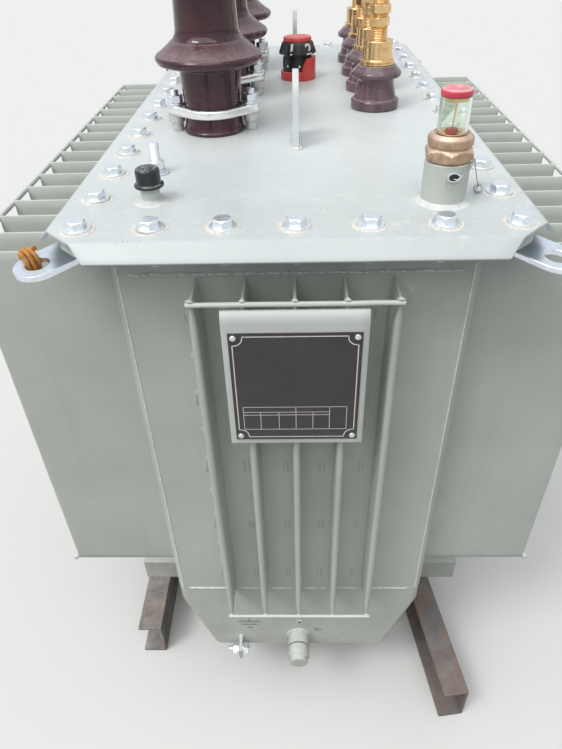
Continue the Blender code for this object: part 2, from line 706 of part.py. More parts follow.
cover_lug("cover_lug_front", FRONT_LUG_Y)
cover_lug("cover_lug_back", BACK_LUG_Y)

stubs = bmesh.new()
for x, y, radius, height in ((GAUGE_X, GAUGE_Y, GAUGE_PIPE_RADIUS, GAUGE_PIPE_HEIGHT),
                             (FILLER_X, FILLER_Y, FILLER_STUB_RADIUS, FILLER_STUB_HEIGHT)):
    lathe(stubs, ((radius, -SINK), (radius, height)), ROUND_STEPS, (x, y, COVER_TOP))
combine(cover, "cover_stubs", stubs, "UNION")


def shed(body, rim, underside, rim_bottom, rim_top, shoulder):
    """Profile of one shed: flat below, a rounded rim, and a hollow slope up to the shoulder."""
    points = [(body, underside), (rim - HV_SHED_EDGE, rim_bottom), (rim, rim_bottom + HV_SHED_EDGE),
              (rim, rim_top - HV_SHED_EDGE)]
    slope_rim = rim - HV_SHED_EDGE
    for i in range(HV_SHED_STEPS + 1):
        along = i / HV_SHED_STEPS
        radius = body + (slope_rim - body) * (1 - along) ** HV_SHED_CURVE
        points.append((radius, rim_top + (shoulder - rim_top) * along))
    return points


def hv_bushing(number, y):
    profile = [(HV_FOOT_RADIUS, GAP), (HV_FOOT_RADIUS, HV_FOOT_HEIGHT), (HV_NECK_RADIUS, HV_CLAMP_BOTTOM),
               (HV_NECK_RADIUS, HV_CLAMP_BOTTOM + HV_CLAMP_THICKNESS)]
    profile += shed(HV_BODY_RADIUS, HV_SHED_RADIUS, HV_SHED_UNDERSIDE, HV_SHED_RIM_BOTTOM, HV_SHED_RIM_TOP,
                    HV_SHED_SHOULDER)
    profile += shed(HV_BODY_RADIUS - HV_UPPER_TAPER, HV_UPPER_SHED_RADIUS, HV_UPPER_SHED_UNDERSIDE,
                    HV_UPPER_SHED_RIM_BOTTOM, HV_UPPER_SHED_RIM_TOP, HV_UPPER_SHED_SHOULDER)
    profile.append((HV_TOP_RADIUS, HV_PORCELAIN_HEIGHT))
    shape = bmesh.new()
    lathe(shape, profile, ROUND_STEPS, (HV_X, y, COVER_TOP))
    place(f"hv_bushing_{number}", shape, PORCELAIN)

    shape = bmesh.new()
    height = HV_CLAMP_BOTTOM
    outline = []
    steps = ROUND_STEPS
    for i in range(steps):
        angle = math.tau * i / steps
        round_reach = HV_CLAMP_RADIUS
        along = abs(math.cos(angle))
        ear = HV_EAR_REACH + HV_EAR_RADIUS
        radius = round_reach + (ear - round_reach) * along ** HV_CLAMP_SHARPNESS
        outline.append((HV_X + radius * math.cos(angle), y + radius * math.sin(angle)))
    bore = [(HV_X + a, y + b) for a, b in circle(HV_NECK_RADIUS + SINK + GAP, steps)]
    ring_prism(shape, outline, bore, COVER_TOP + height, COVER_TOP + height + HV_CLAMP_THICKNESS)
    clamp = place(f"hv_clamp_{number}", shape, CAST_ALUMINIUM)
    legs = bmesh.new()
    for side in (-1, 1):
        leg = ((HV_LEG_FOOT_RADIUS, GAP), (HV_LEG_RADIUS, HV_CLAMP_BOTTOM + SINK))
        lathe(legs, leg, SMALL_ROUND_STEPS, (HV_X + side * HV_EAR_REACH, y, COVER_TOP))
    combine(clamp, f"hv_clamp_{number}_legs", legs, "UNION")

    shape = bmesh.new()
    foot = HV_PORCELAIN_HEIGHT + GAP
    nut = foot + HV_CAP_HEIGHT
    profile = ((HV_CAP_RADIUS, foot), (HV_CAP_RADIUS, nut), (HV_NUT_RADIUS, nut + SINK),
               (HV_NUT_RADIUS, nut + HV_NUT_HEIGHT), (HV_STUD_RADIUS, nut + HV_NUT_HEIGHT + SINK),
               (HV_STUD_RADIUS, foot + HV_STUD_HEIGHT))
    lathe(shape, profile, SMALL_ROUND_STEPS, (HV_X, y, COVER_TOP))
    place(f"hv_terminal_{number}", shape, BRASS)


for i in range(HV_COUNT):
    hv_bushing(i + 1, HV_FIRST_Y + i * HV_PITCH)


def lv_bushing(number, y):
    profile = ((LV_FOOT_RADIUS, GAP), (LV_FOOT_RADIUS, LV_FOOT_HEIGHT), (LV_BODY_RADIUS, LV_SHOULDER_HEIGHT),
               (LV_NECK_RADIUS, LV_SHED_UNDERSIDE), (LV_SHED_RADIUS, LV_SHED_RIM_BOTTOM),
               (LV_SHED_RADIUS, LV_SHED_RIM_TOP), (LV_TOP_RADIUS, LV_PORCELAIN_HEIGHT))
    shape = bmesh.new()
    lathe(shape, profile, ROUND_STEPS, (LV_X, y, COVER_TOP))
    place(f"lv_bushing_{number}", shape, PORCELAIN)

    foot = LV_PORCELAIN_HEIGHT + GAP
    ring = foot + LV_RING_HEIGHT
    sleeve = ring + LV_SLEEVE_HEIGHT
    lower, upper = foot + LV_LOWER_NUT_BOTTOM, foot + LV_UPPER_NUT_BOTTOM
    profile = ((LV_RING_RADIUS, foot), (LV_RING_RADIUS, ring), (LV_SLEEVE_RADIUS, ring + SINK),
               (LV_SLEEVE_RADIUS, sleeve), (LV_STUD_RADIUS, sleeve + SINK), (LV_STUD_RADIUS, lower - SINK),
               (LV_NUT_RADIUS, lower), (LV_NUT_RADIUS, lower + LV_NUT_HEIGHT),
               (LV_STUD_RADIUS, lower + LV_NUT_HEIGHT + SINK), (LV_NUT_RADIUS, upper),
               (LV_NUT_RADIUS, upper + LV_NUT_HEIGHT), (LV_STUD_RADIUS, upper + LV_NUT_HEIGHT + SINK),
               (LV_STUD_RADIUS, foot + LV_STUD_HEIGHT))
    shape = bmesh.new()
    lathe(shape, profile, SMALL_ROUND_STEPS, (LV_X, y, COVER_TOP))
    place(f"lv_terminal_{number}", shape, BRASS)


for i in range(LV_COUNT):
    lv_bushing(i + 1, LV_FIRST_Y + i * LV_PITCH)

# Tap changer: the base carries the body, the guard and a pin, and the knob turns round the pin.
tap_centre = (TAP_X, TAP_Y, COVER_TOP)
knob_bottom = TAP_BODY_HEIGHT + TAP_KNOB_CLEARANCE
knob_top = knob_bottom + TAP_KNOB_HEIGHT
shape = bmesh.new()
lathe(shape, ((TAP_BASE_RADIUS, GAP), (TAP_BASE_RADIUS, TAP_BASE_HEIGHT), (TAP_BODY_RADIUS, TAP_BASE_HEIGHT),
              (TAP_BODY_RADIUS, TAP_BODY_HEIGHT), (TAP_PIN_RADIUS, TAP_BODY_HEIGHT),
              (TAP_PIN_RADIUS, knob_top - TAP_PIN_SHORT)), ROUND_STEPS, tap_centre)
tap_base = place("tap_changer_base", shape, RED_PLASTIC)


def tap_ring(angle, top):
    """Section of the guard at an angle from the front, between the body and the guard's outside."""
    points = []
    inside = TAP_BODY_RADIUS - SINK
    for radius, height in ((inside, TAP_GUARD_BOTTOM), (TAP_GUARD_RADIUS, TAP_GUARD_BOTTOM),
                           (TAP_GUARD_RADIUS, top), (inside, top)):
        points.append((TAP_X + radius * math.sin(angle), TAP_Y - radius * math.cos(angle), COVER_TOP + height))
    return points


shape = bmesh.new()
guard_rings = [tap_ring(TAP_GUARD_START, TAP_BASE_HEIGHT - SINK),
               tap_ring(TAP_GUARD_HALFWAY, TAP_GUARD_HALFWAY_HEIGHT)]
guard_top = TAP_BODY_HEIGHT - GAP
for i in range(TAP_GUARD_STEPS + 1):
    share_of_arc = i / TAP_GUARD_STEPS
    angle = TAP_GUARD_FULL + (TAP_GUARD_END - TAP_GUARD_FULL) * share_of_arc
    guard_rings.append(tap_ring(angle, guard_top))
loft(shape, guard_rings)
combine(tap_base, "tap_changer_guard", shape, "UNION")

knob_steps = TAP_PANEL_COUNT * TAP_PANEL_STEPS


def knob_outline(radius, height):
    """Six raised panels with a shallow groove as wide as a panel between each two."""
    points = []
    for i in range(knob_steps):
        angle = math.tau * (i + 0.5) / knob_steps + TAP_PANEL_TURN - math.pi / 2
        in_panel = (i + TAP_PANEL_STEPS // 4) % TAP_PANEL_STEPS < TAP_PANEL_STEPS // 2
        reach = radius if in_panel else radius - TAP_GROOVE_DEPTH
        points.append((TAP_X + reach * math.cos(angle), TAP_Y + reach * math.sin(angle), COVER_TOP + height))
    return points


def bore_ring(height):
    bore = TAP_PIN_RADIUS + TAP_PIN_CLEARANCE
    turn = math.tau / 2 / knob_steps + TAP_PANEL_TURN - math.pi / 2
    return [(TAP_X + a, TAP_Y + b, COVER_TOP + height) for a, b in circle(bore, knob_steps, turn)]


shape = bmesh.new()
levels = [knob_outline(TAP_KNOB_RADIUS, knob_bottom), knob_outline(TAP_KNOB_TOP_RADIUS, knob_top),
          bore_ring(knob_top), bore_ring(knob_bottom)]
rows = [[shape.verts.new(point) for point in level] for level in levels]
for lower, upper in zip(rows, rows[1:] + rows[:1]):
    for i in range(knob_steps):
        j = (i + 1) % knob_steps
        shape.faces.new((lower[i], lower[j], upper[j], upper[i]))
place("tap_changer_dial", shape, BLACK_PLASTIC)

shape = bmesh.new()
lathe(shape, ((TAP_CAP_RADIUS, knob_top + GAP), (TAP_CAP_RADIUS, knob_top + TAP_CAP_HEIGHT)),
      ROUND_STEPS, tap_centre)
place("tap_changer_cap", shape, RED_PLASTIC)

# Oil gauge: hexagon, round collar, glass tube and red cap.
gauge_foot = GAUGE_PIPE_HEIGHT + GAP
shape = bmesh.new()
lathe(shape, ((GAUGE_NUT_RADIUS, gauge_foot), (GAUGE_NUT_RADIUS, gauge_foot + GAUGE_NUT_HEIGHT)),
      HEX_STEPS, (GAUGE_X, GAUGE_Y, COVER_TOP), turn=GAUGE_NUT_TURN)
gauge_body = place("oil_gauge_body", shape, BRONZE)
shape = bmesh.new()
collar_top = gauge_foot + GAUGE_NUT_HEIGHT + GAUGE_COLLAR_HEIGHT
lathe(shape, ((GAUGE_COLLAR_RADIUS, gauge_foot + GAUGE_NUT_HEIGHT - SINK), (GAUGE_COLLAR_RADIUS, collar_top)),
      ROUND_STEPS, (GAUGE_X, GAUGE_Y, COVER_TOP))
combine(gauge_body, "oil_gauge_collar", shape, "UNION")

shape = bmesh.new()
glass_bottom = collar_top + GAP
glass_top = glass_bottom + GAUGE_GLASS_HEIGHT
outer = [(GAUGE_X + a, GAUGE_Y + b) for a, b in circle(GAUGE_GLASS_RADIUS, ROUND_STEPS)]
inner = [(GAUGE_X + a, GAUGE_Y + b) for a, b in circle(GAUGE_GLASS_RADIUS - GAUGE_GLASS_WALL, ROUND_STEPS)]
ring_prism(shape, outer, inner, COVER_TOP + glass_bottom, COVER_TOP + glass_top)
place("oil_gauge_glass", shape, GLASS)

shape = bmesh.new()
lathe(shape, ((GAUGE_CAP_RADIUS, glass_top + GAP), (GAUGE_CAP_RADIUS, glass_top + GAUGE_CAP_HEIGHT)),
      ROUND_STEPS, (GAUGE_X, GAUGE_Y, COVER_TOP))
place("oil_gauge_cap", shape, RED_PLASTIC)

# Filler cap.
shape = bmesh.new()
cap_bottom = FILLER_STUB_HEIGHT + GAP
cap_top = cap_bottom + FILLER_CAP_HEIGHT
profile = ((FILLER_SKIRT_RADIUS, cap_bottom), (FILLER_SKIRT_RADIUS, cap_bottom + FILLER_SKIRT_HEIGHT),
           (FILLER_CAP_RADIUS, cap_bottom + FILLER_SKIRT_HEIGHT + SINK),
           (FILLER_CAP_RADIUS, cap_top - FILLER_CAP_ROUNDING),
           (FILLER_CAP_RADIUS - FILLER_CAP_ROUNDING / 2, cap_top - FILLER_CAP_ROUNDING / 2),
           (FILLER_CAP_RADIUS - FILLER_CAP_ROUNDING * 2, cap_top))
lathe(shape, profile, ROUND_STEPS, (FILLER_X, FILLER_Y, COVER_TOP))
place("filler_cap", shape, BLACK_PLASTIC)


def corner_eye(name, side_x, side_y):
    """Flat eye that points out and slightly down from under a corner of the cover."""
    half = EYE_WIDTH / 2
    outline = []
    for i in range(EYE_ARC_STEPS + 1):
        angle = -math.pi / 2 + math.pi * i / EYE_ARC_STEPS
        outline.append((half * math.cos(angle), half * math.sin(angle)))
    outline.append((-EYE_ROOT_REACH, half))
    outline.append((-EYE_ROOT_REACH, -half))
    shape = bmesh.new()
    prism(shape, outline, -EYE_THICKNESS / 2, EYE_THICKNESS / 2, "Z")
    slope = math.atan2(EYE_HOLE_DROP - EYE_ROOT_DROP, EYE_ROOT_REACH)
    heading = math.atan2(side_y, side_x)
    turn = Matrix.Rotation(heading, 3, "Z") @ Matrix.Rotation(slope, 3, "Y")
    spot = Vector((side_x * EYE_HOLE_X, side_y * (BOLT_Y + EYE_HOLE_INSET), down(EYE_HOLE_DROP)))
    bmesh.ops.rotate(shape, verts=shape.verts, matrix=turn)
    bmesh.ops.translate(shape, verts=shape.verts, vec=spot)
    eye = place(name, shape, ZINC)
    tools = bmesh.new()
    hole = circle(EYE_HOLE_RADIUS, SMALL_ROUND_STEPS)
    prism(tools, hole, -EYE_THICKNESS, EYE_THICKNESS, "Z")
    bmesh.ops.rotate(tools, verts=tools.verts, matrix=turn)
    bmesh.ops.translate(tools, verts=tools.verts, vec=spot)
    combine(eye, name + "_hole", tools, "DIFFERENCE")
    tank = bmesh.new()
    body = rounded_rectangle(WALL_X + GAP, WALL_Y + GAP, WALL_CORNER_RADIUS + GAP)
    prism(tank, body, down(EYE_HOLE_DROP * 2), COVER_TOP, "Z")
    combine(eye, name + "_tank", tank, "DIFFERENCE")


for side_x, x_word in ((-1, "left"), (1, "right")):
    for side_y, y_word in ((-1, "front"), (1, "back")):
        corner_eye(f"corner_eye_{y_word}_{x_word}", side_x, side_y)

# Rating plate holder: a sheet bent back at its top and bottom to touch the fin tips' bars.
fin_tip_y = -(WALL_Y + END_FIN_DEPTH)
bracket_back = fin_tip_y - GAP
bracket_front = bracket_back - BRACKET_STAND_OFF - BRACKET_SHEET
bracket_top, bracket_bottom = down(BRACKET_TOP_DROP), down(BRACKET_BOTTOM_DROP)
shape = bmesh.new()
inner_y = bracket_front + BRACKET_SHEET
outline = ((bracket_back, bracket_top), (bracket_front, bracket_top), (bracket_front, bracket_bottom),
           (bracket_back, bracket_bottom), (bracket_back, bracket_bottom + BRACKET_SHEET),
           (inner_y, bracket_bottom + BRACKET_SHEET), (inner_y, bracket_top - BRACKET_SHEET),
           (bracket_back, bracket_top - BRACKET_SHEET))
prism(shape, outline, -BRACKET_HALF_WIDTH, BRACKET_HALF_WIDTH, "X")
place("plate_bracket", shape, TANK_PAINT)

shape = bmesh.new()
plate_back = bracket_front - GAP
box(shape, (-PLATE_HALF_WIDTH, plate_back - PLATE_THICKNESS, down(PLATE_BOTTOM_DROP)),
    (PLATE_HALF_WIDTH, plate_back, down(PLATE_TOP_DROP)))
place("rating_plate", shape, BLACK_PLASTIC)
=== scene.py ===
import math
import random

import bmesh
import bpy
from mathutils import Matrix, Vector, noise as field


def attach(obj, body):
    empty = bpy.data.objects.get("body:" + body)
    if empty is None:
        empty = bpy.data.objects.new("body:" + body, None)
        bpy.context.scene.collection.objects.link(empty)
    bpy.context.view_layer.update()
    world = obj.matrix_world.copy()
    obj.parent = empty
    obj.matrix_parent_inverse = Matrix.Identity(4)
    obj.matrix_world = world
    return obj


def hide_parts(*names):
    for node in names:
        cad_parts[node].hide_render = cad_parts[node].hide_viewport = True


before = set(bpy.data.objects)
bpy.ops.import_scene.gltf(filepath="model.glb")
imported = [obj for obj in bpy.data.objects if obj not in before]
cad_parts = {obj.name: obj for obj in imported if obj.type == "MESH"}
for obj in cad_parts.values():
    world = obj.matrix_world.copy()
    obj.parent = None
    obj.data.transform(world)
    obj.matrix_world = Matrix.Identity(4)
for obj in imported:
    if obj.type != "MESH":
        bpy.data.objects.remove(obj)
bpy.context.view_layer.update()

SCENE = bpy.context.scene
TAU = math.tau

# Sizes repeated from the part, in metres. DECK is the height of the cover's top.
DECK = 0.9525
BOLT_X, BOLT_Y = 0.216, 0.468
FOLD_X, FOLD_Y = 0.2446, 0.4966
WALL_X, WALL_Y = 0.198, 0.450
HV_X, HV_ROW = -0.111, (-0.135, 0.060, 0.255)
LV_X, LV_ROW = 0.123, (-0.036, 0.080, 0.196, 0.312)
TAP = Vector((0.007, 0.172, DECK))
GAUGE = Vector((0.155, -0.408, DECK))
FILLER = Vector((-0.1525, -0.397, DECK))


# Camera at the photograph's place, found from the bolts, the folds and the walls.
def camera():
    data = bpy.data.cameras.new("photo_camera")
    data.sensor_width = 36
    data.lens = 29.08
    data.clip_start = 0.05
    data.clip_end = 60
    made = bpy.data.objects.new("photo_camera", data)
    SCENE.collection.objects.link(made)
    turn = (Matrix.Rotation(math.radians(2.08), 4, "Z") @ Matrix.Rotation(math.radians(52.25), 4, "X")
            @ Matrix.Rotation(math.radians(-1.84), 4, "Z"))
    made.matrix_world = Matrix.Translation((0.0030, -1.0222, 1.1995)) @ turn
    SCENE.camera = made


camera()


# Node materials. Each method adds a node and returns its output.
class Look:
    def __init__(self, name, slot, colour=(0.5, 0.5, 0.5), roughness=0.5, metallic=0.0):
        self.made = bpy.data.materials.new(name)
        self.made.use_nodes = True
        self.slot = slot
        self.tree = self.made.node_tree
        self.shader = self.tree.nodes["Principled BSDF"]
        self.place = self.tree.nodes.new("ShaderNodeTexCoord").outputs["Object"]
        geometry = self.tree.nodes.new("ShaderNodeNewGeometry")
        split = self.tree.nodes.new("ShaderNodeSeparateXYZ")
        self.tree.links.new(geometry.outputs["Normal"], split.inputs[0])
        self.up = split.outputs["Z"]
        spot = self.tree.nodes.new("ShaderNodeSeparateXYZ")
        self.tree.links.new(self.place, spot.inputs[0])
        self.x, self.y, self.z = spot.outputs
        self.set("Base Color", colour)
        self.set("Roughness", roughness)
        self.set("Metallic", metallic)

    def feed(self, value, socket):
        if isinstance(value, bpy.types.NodeSocket):
            self.tree.links.new(value, socket)
        elif isinstance(value, tuple) and socket.type == "RGBA":
            socket.default_value = (*value, 1)
        else:
            socket.default_value = value

    def set(self, name, value):
        self.feed(value, self.shader.inputs[name])

    def stretched(self, scale, turn=(0, 0, 0)):
        node = self.tree.nodes.new("ShaderNodeMapping")
        node.inputs["Scale"].default_value = scale
        node.inputs["Rotation"].default_value = turn
        self.tree.links.new(self.place, node.inputs["Vector"])
        return node.outputs[0]

    def noise(self, scale, detail=3, rough=0.5, where=None, warp=0.0):
        node = self.tree.nodes.new("ShaderNodeTexNoise")
        node.inputs["Scale"].default_value = scale
        node.inputs["Detail"].default_value = detail
        node.inputs["Roughness"].default_value = rough
        node.inputs["Distortion"].default_value = warp
        self.tree.links.new(where or self.place, node.inputs["Vector"])
        return node.outputs["Fac"]

    def cells(self, scale, where=None, feature="F1", spread=1.0):
        node = self.tree.nodes.new("ShaderNodeTexVoronoi")
        node.feature = feature
        node.inputs["Scale"].default_value = scale
        node.inputs["Randomness"].default_value = spread
        self.tree.links.new(where or self.place, node.inputs["Vector"])
        return node

    def ramp(self, value, low, high, to_low=0.0, to_high=1.0):
        node = self.tree.nodes.new("ShaderNodeMapRange")
        node.clamp = True
        self.tree.links.new(value, node.inputs["Value"])
        for name, number in (("From Min", low), ("From Max", high), ("To Min", to_low), ("To Max", to_high)):
            node.inputs[name].default_value = number
        return node.outputs["Result"]

    def maths(self, operation, a, b=0.0, c=0.0):
        node = self.tree.nodes.new("ShaderNodeMath")
        node.operation = operation
        for value, socket in zip((a, b, c), node.inputs):
            self.feed(value, socket)
        return node.outputs[0]

    def times(self, a, b):
        return self.maths("MULTIPLY", a, b)

    def mix(self, factor, a, b):
        node = self.tree.nodes.new("ShaderNodeMix")
        node.data_type = "RGBA"
        self.feed(factor, node.inputs["Factor"])
        self.feed(a, node.inputs[6])
        self.feed(b, node.inputs[7])
        return node.outputs[2]

    def bump(self, height, distance, under=None):
        node = self.tree.nodes.new("ShaderNodeBump")
        node.inputs["Strength"].default_value = 1.0
        node.inputs["Distance"].default_value = distance
        self.tree.links.new(height, node.inputs["Height"])
        if under:
            self.tree.links.new(under, node.inputs["Normal"])
        self.tree.links.new(node.outputs[0], self.shader.inputs["Normal"])
        return node.outputs[0]


# Pale grey laid on what faces up: real dust, and also painted light that lightens the tank's tops and the gauge cap's
# top.
PALE_DUST_AND_TOP_LIGHT = (0.76, 0.765, 0.745)


def paint(name, slot, colour, dust):
    """Satin enamel on sheet steel: slight waves, orange peel, dull patches, and pale on what faces up that is thin dust
    and also painted light lightening the tops.
    """
    look = Look(name, slot)
    cloud = look.noise(7, 4, 0.6)
    tone = look.ramp(cloud, 0.3, 0.7, 0.0, 1.0)
    darker = tuple(0.93 * c for c in colour)
    lighter = tuple(min(1, 1.05 * c) for c in colour)
    body = look.mix(tone, darker, lighter)
    streaks = look.noise(1, 5, 0.6, look.stretched((42, 42, 2.6)))
    body = look.mix(look.ramp(streaks, 0.52, 0.78, 0.0, 0.22), body, tuple(0.72 * c for c in colour))
    grit = look.cells(260)
    speck = look.times(look.ramp(grit.outputs["Distance"], 0.10, 0.16, 1.0, 0.0),
                       look.ramp(look.noise(31, 2), 0.55, 0.62))
    body = look.mix(look.times(speck, 0.5), body, tuple(0.42 * c for c in colour))
    low = look.times(look.ramp(look.z, 0.30, 0.13), look.ramp(look.noise(24, 5, 0.7), 0.42, 0.66))
    body = look.mix(look.times(low, 0.35), body, (0.36, 0.31, 0.25))
    # Dust and painted light: what faces up is mixed towards pale grey, partly dust and partly painted light that
    # brightens the tops.
    flat = look.ramp(look.up, 0.35, 0.90)
    settled = look.times(flat, look.ramp(look.noise(16, 6, 0.65, warp=0.4), 0.20, 0.66, 0.35, 1.0))
    body = look.mix(look.times(settled, dust), body, PALE_DUST_AND_TOP_LIGHT)
    look.set("Base Color", body)
    look.set("Roughness", look.maths("ADD", look.ramp(look.noise(22, 3), 0.3, 0.7, 0.34, 0.48),
                                     look.times(settled, 0.3)))
    look.set("Specular IOR Level", 0.45)
    waves = look.bump(look.noise(9, 1), 0.0016)
    look.bump(look.noise(620, 2, 0.5), 0.00005, waves)
    return look


def cover_paint():
    """The cover's enamel, with cloudy dust, dried drops, dark specks and rings round its fittings, and a lighter band
    of painted light across its middle.
    """
    look = Look("cover_enamel", "cover_paint")
    colour = (0.590, 0.640, 0.645)
    tone = look.ramp(look.noise(5, 4, 0.6), 0.3, 0.7)
    body = look.mix(tone, tuple(0.93 * c for c in colour), tuple(1.05 * c for c in colour))
    cloud = look.ramp(look.noise(8.5, 7, 0.68, warp=0.6), 0.44, 0.70)
    back = look.ramp(look.y, -0.36, 0.10, 0.25, 0.95)
    flat = look.ramp(look.up, 0.55, 0.95)
    dust = look.times(look.times(cloud, back), flat)
    body = look.mix(look.times(dust, 0.62), body, (0.70, 0.70, 0.66))
    # Painted light: a lighter band across the middle of the cover, standing in for light falling there.
    middle = look.times(look.ramp(look.y, -0.44, -0.22), look.ramp(look.y, 0.25, 0.0))
    body = look.mix(look.times(middle, 0.75), body, (0.70, 0.745, 0.75))
    fine = look.ramp(look.noise(85, 5, 0.75), 0.50, 0.74)
    body = look.mix(look.times(look.times(fine, flat), 0.34), body, (0.80, 0.79, 0.75))
    drops = look.cells(52, spread=1.0)
    ring = look.times(look.ramp(drops.outputs["Distance"], 0.20, 0.26),
                      look.ramp(drops.outputs["Distance"], 0.34, 0.28))
    ring = look.times(ring, look.ramp(look.noise(12, 1), 0.52, 0.58))
    body = look.mix(look.times(look.times(ring, flat), 0.34), body, (0.84, 0.84, 0.81))
    dots = look.cells(150)
    mark = look.times(look.ramp(dots.outputs["Distance"], 0.09, 0.15, 1.0, 0.0),
                      look.ramp(look.noise(19, 2), 0.53, 0.60))
    body = look.mix(look.times(look.times(mark, flat), 0.6), body, (0.21, 0.20, 0.17))
    sand = look.cells(430)
    grain = look.times(look.ramp(sand.outputs["Distance"], 0.12, 0.2, 1.0, 0.0), look.ramp(look.noise(37, 3), 0.5, 0.6))
    body = look.mix(look.times(look.times(grain, flat), 0.55), body, (0.86, 0.83, 0.77))
    look.set("Base Color", body)
    look.set("Roughness", look.maths("ADD", look.ramp(look.noise(26, 3), 0.3, 0.7, 0.30, 0.44),
                                     look.times(dust, 0.35)))
    waves = look.bump(look.noise(7, 1), 0.0014)
    look.bump(look.noise(540, 3, 0.6), 0.00006, waves)
    return look


def porcelain(name, shade):
    """Brown glaze with a clear coat, slow ripples, lighter upright streaks of painted reflection, and dust that settles
    on the sheds.
    """
    look = Look(name, "porcelain", roughness=0.16)
    tone = look.ramp(look.noise(36, 4, 0.6), 0.35, 0.7)
    body = look.mix(tone, tuple(0.7 * c for c in shade), tuple(1.2 * c for c in shade))
    # Painted reflections: lighter upright streaks in the glaze's colour, standing in for streaks of reflected light.
    painted_reflection_streaks = look.ramp(look.noise(1, 4, 0.6, look.stretched((70, 70, 5))), 0.35, 0.65)
    body = look.mix(look.times(painted_reflection_streaks, 0.6), body, tuple(1.9 * c for c in shade))
    fleck = look.cells(480)
    body = look.mix(look.times(look.ramp(fleck.outputs["Distance"], 0.12, 0.22, 0.35, 0.0),
                               look.ramp(look.noise(60, 2), 0.45, 0.6)), body, (0.012, 0.006, 0.006))
    flat = look.ramp(look.up, 0.72, 0.82)
    settled = look.times(flat, look.ramp(look.noise(52, 7, 0.75), 0.30, 0.72, 0.25, 1.0))
    body = look.mix(look.times(settled, 0.58), body, (0.47, 0.35, 0.37))
    crumbs = look.cells(420)
    crumb = look.times(look.ramp(crumbs.outputs["Distance"], 0.10, 0.30, 1.0, 0.0),
                       look.ramp(look.noise(44, 3, 0.6), 0.40, 0.58))
    upper = look.ramp(look.up, 0.0, 0.74, 0.12, 1.0)
    body = look.mix(look.times(look.times(crumb, upper), 0.8), body, (0.52, 0.40, 0.35))
    look.set("Base Color", body)
    look.set("Roughness", look.maths("ADD", 0.10, look.times(settled, 0.5)))
    look.set("Specular IOR Level", 0.34)
    look.set("Coat Weight", look.times(look.ramp(settled, 0.0, 0.5, 1.0, 0.0), 0.35))
    look.set("Coat Roughness", 0.04)
    look.bump(look.noise(48, 2), 0.0006)
    return look


def metal(name, slot, bright, dull, roughness, ridges=0.0, tarnish=(0.42, 0.62), grain=340):
    """Bare metal with tarnish in patches and fine grain; ridges adds turning lines that run round."""
    look = Look(name, slot, metallic=1.0)
    patch = look.ramp(look.noise(95, 5, 0.65), *tarnish)
    look.set("Base Color", look.mix(patch, bright, dull))
    look.set("Roughness", look.maths("ADD", look.ramp(look.noise(grain, 3), 0.3, 0.7, roughness * 0.8, roughness * 1.2),
                                     look.times(patch, 0.22)))
    height = look.noise(grain, 3, 0.6)
    under = look.bump(height, 0.00004)
    if ridges:
        look.bump(look.noise(1, 2, 0.4, look.stretched((40, 40, 2200))), ridges, under)
    return look


def bronze():
    """Worn bronze: pinkish and dusty where it faces up, browner with fine upright scratches on its sides."""
    look = Look("gauge_bronze", "bronze", metallic=0.6)
    patch = look.ramp(look.noise(110, 5, 0.7), 0.35, 0.65)
    side = look.mix(patch, (0.56, 0.40, 0.28), (0.40, 0.26, 0.17))
    scratch = look.noise(1, 3, 0.6, look.stretched((900, 900, 60)))
    side = look.mix(look.ramp(scratch, 0.5, 0.7, 0.0, 0.30), side, (0.68, 0.54, 0.42))
    up = look.ramp(look.up, 0.25, 0.75)
    look.set("Base Color", look.mix(up, side, look.mix(patch, (0.78, 0.60, 0.50), (0.62, 0.44, 0.34))))
    look.set("Roughness", look.ramp(scratch, 0.3, 0.7, 0.44, 0.58))
    look.bump(look.noise(300, 3, 0.6), 0.00006)
    return look


def zinc(name, bright, scale, fleck, rough):
    """Bright zinc with its spangle: flat crystals that each catch the light a little differently."""
    look = Look(name, "zinc", metallic=1.0)
    crystals = look.cells(scale)
    shade = look.ramp(crystals.outputs["Color"], 0.1, 0.9)
    body = look.mix(shade, tuple((1 - fleck) * c for c in bright), bright)
    stain = look.ramp(look.noise(70, 5, 0.7), 0.58, 0.78)
    body = look.mix(look.times(stain, 0.35), body, (0.56, 0.55, 0.52))
    look.set("Base Color", body)
    look.set("Roughness", look.maths("ADD", look.times(shade, 0.06), look.maths("ADD", rough, look.times(stain, 0.25))))
    look.bump(look.noise(300, 3), 0.00005)
    return look


def cast():
    """Pale cast aluminium, sandy on its sides and scuffed."""
    look = Look("clamp_casting", "cast_aluminium", metallic=0.85)
    grain = look.noise(420, 5, 0.7)
    patch = look.ramp(look.noise(60, 4, 0.6), 0.4, 0.7)
    body = look.mix(patch, (0.93, 0.93, 0.92), (0.84, 0.83, 0.81))
    look.set("Base Color", body)
    look.set("Roughness", look.ramp(grain, 0.3, 0.7, 0.14, 0.26))
    look.bump(grain, 0.00006)
    return look


def plastic(name, slot, colour, roughness, dust=0.15, patchy=0.45):
    look = Look(name, slot)
    tone = look.ramp(look.noise(30, 4, 0.6), 0.3, 0.7)
    body = look.mix(tone, tuple(0.85 * c for c in colour), tuple(min(1, 1.12 * c) for c in colour))
    # Pale on what faces up: dust, and on the gauge cap, where it is laid evenly, painted light.
    settled = look.times(look.ramp(look.up, 0.3, 0.9), look.ramp(look.noise(120, 6, 0.7), patchy, 0.7))
    body = look.mix(look.times(settled, dust), body, PALE_DUST_AND_TOP_LIGHT)
    look.set("Base Color", body)
    look.set("Roughness", look.ramp(look.noise(210, 3), 0.3, 0.7, roughness * 0.8, roughness * 1.25))
    look.bump(look.noise(380, 2), 0.00004)
    return look


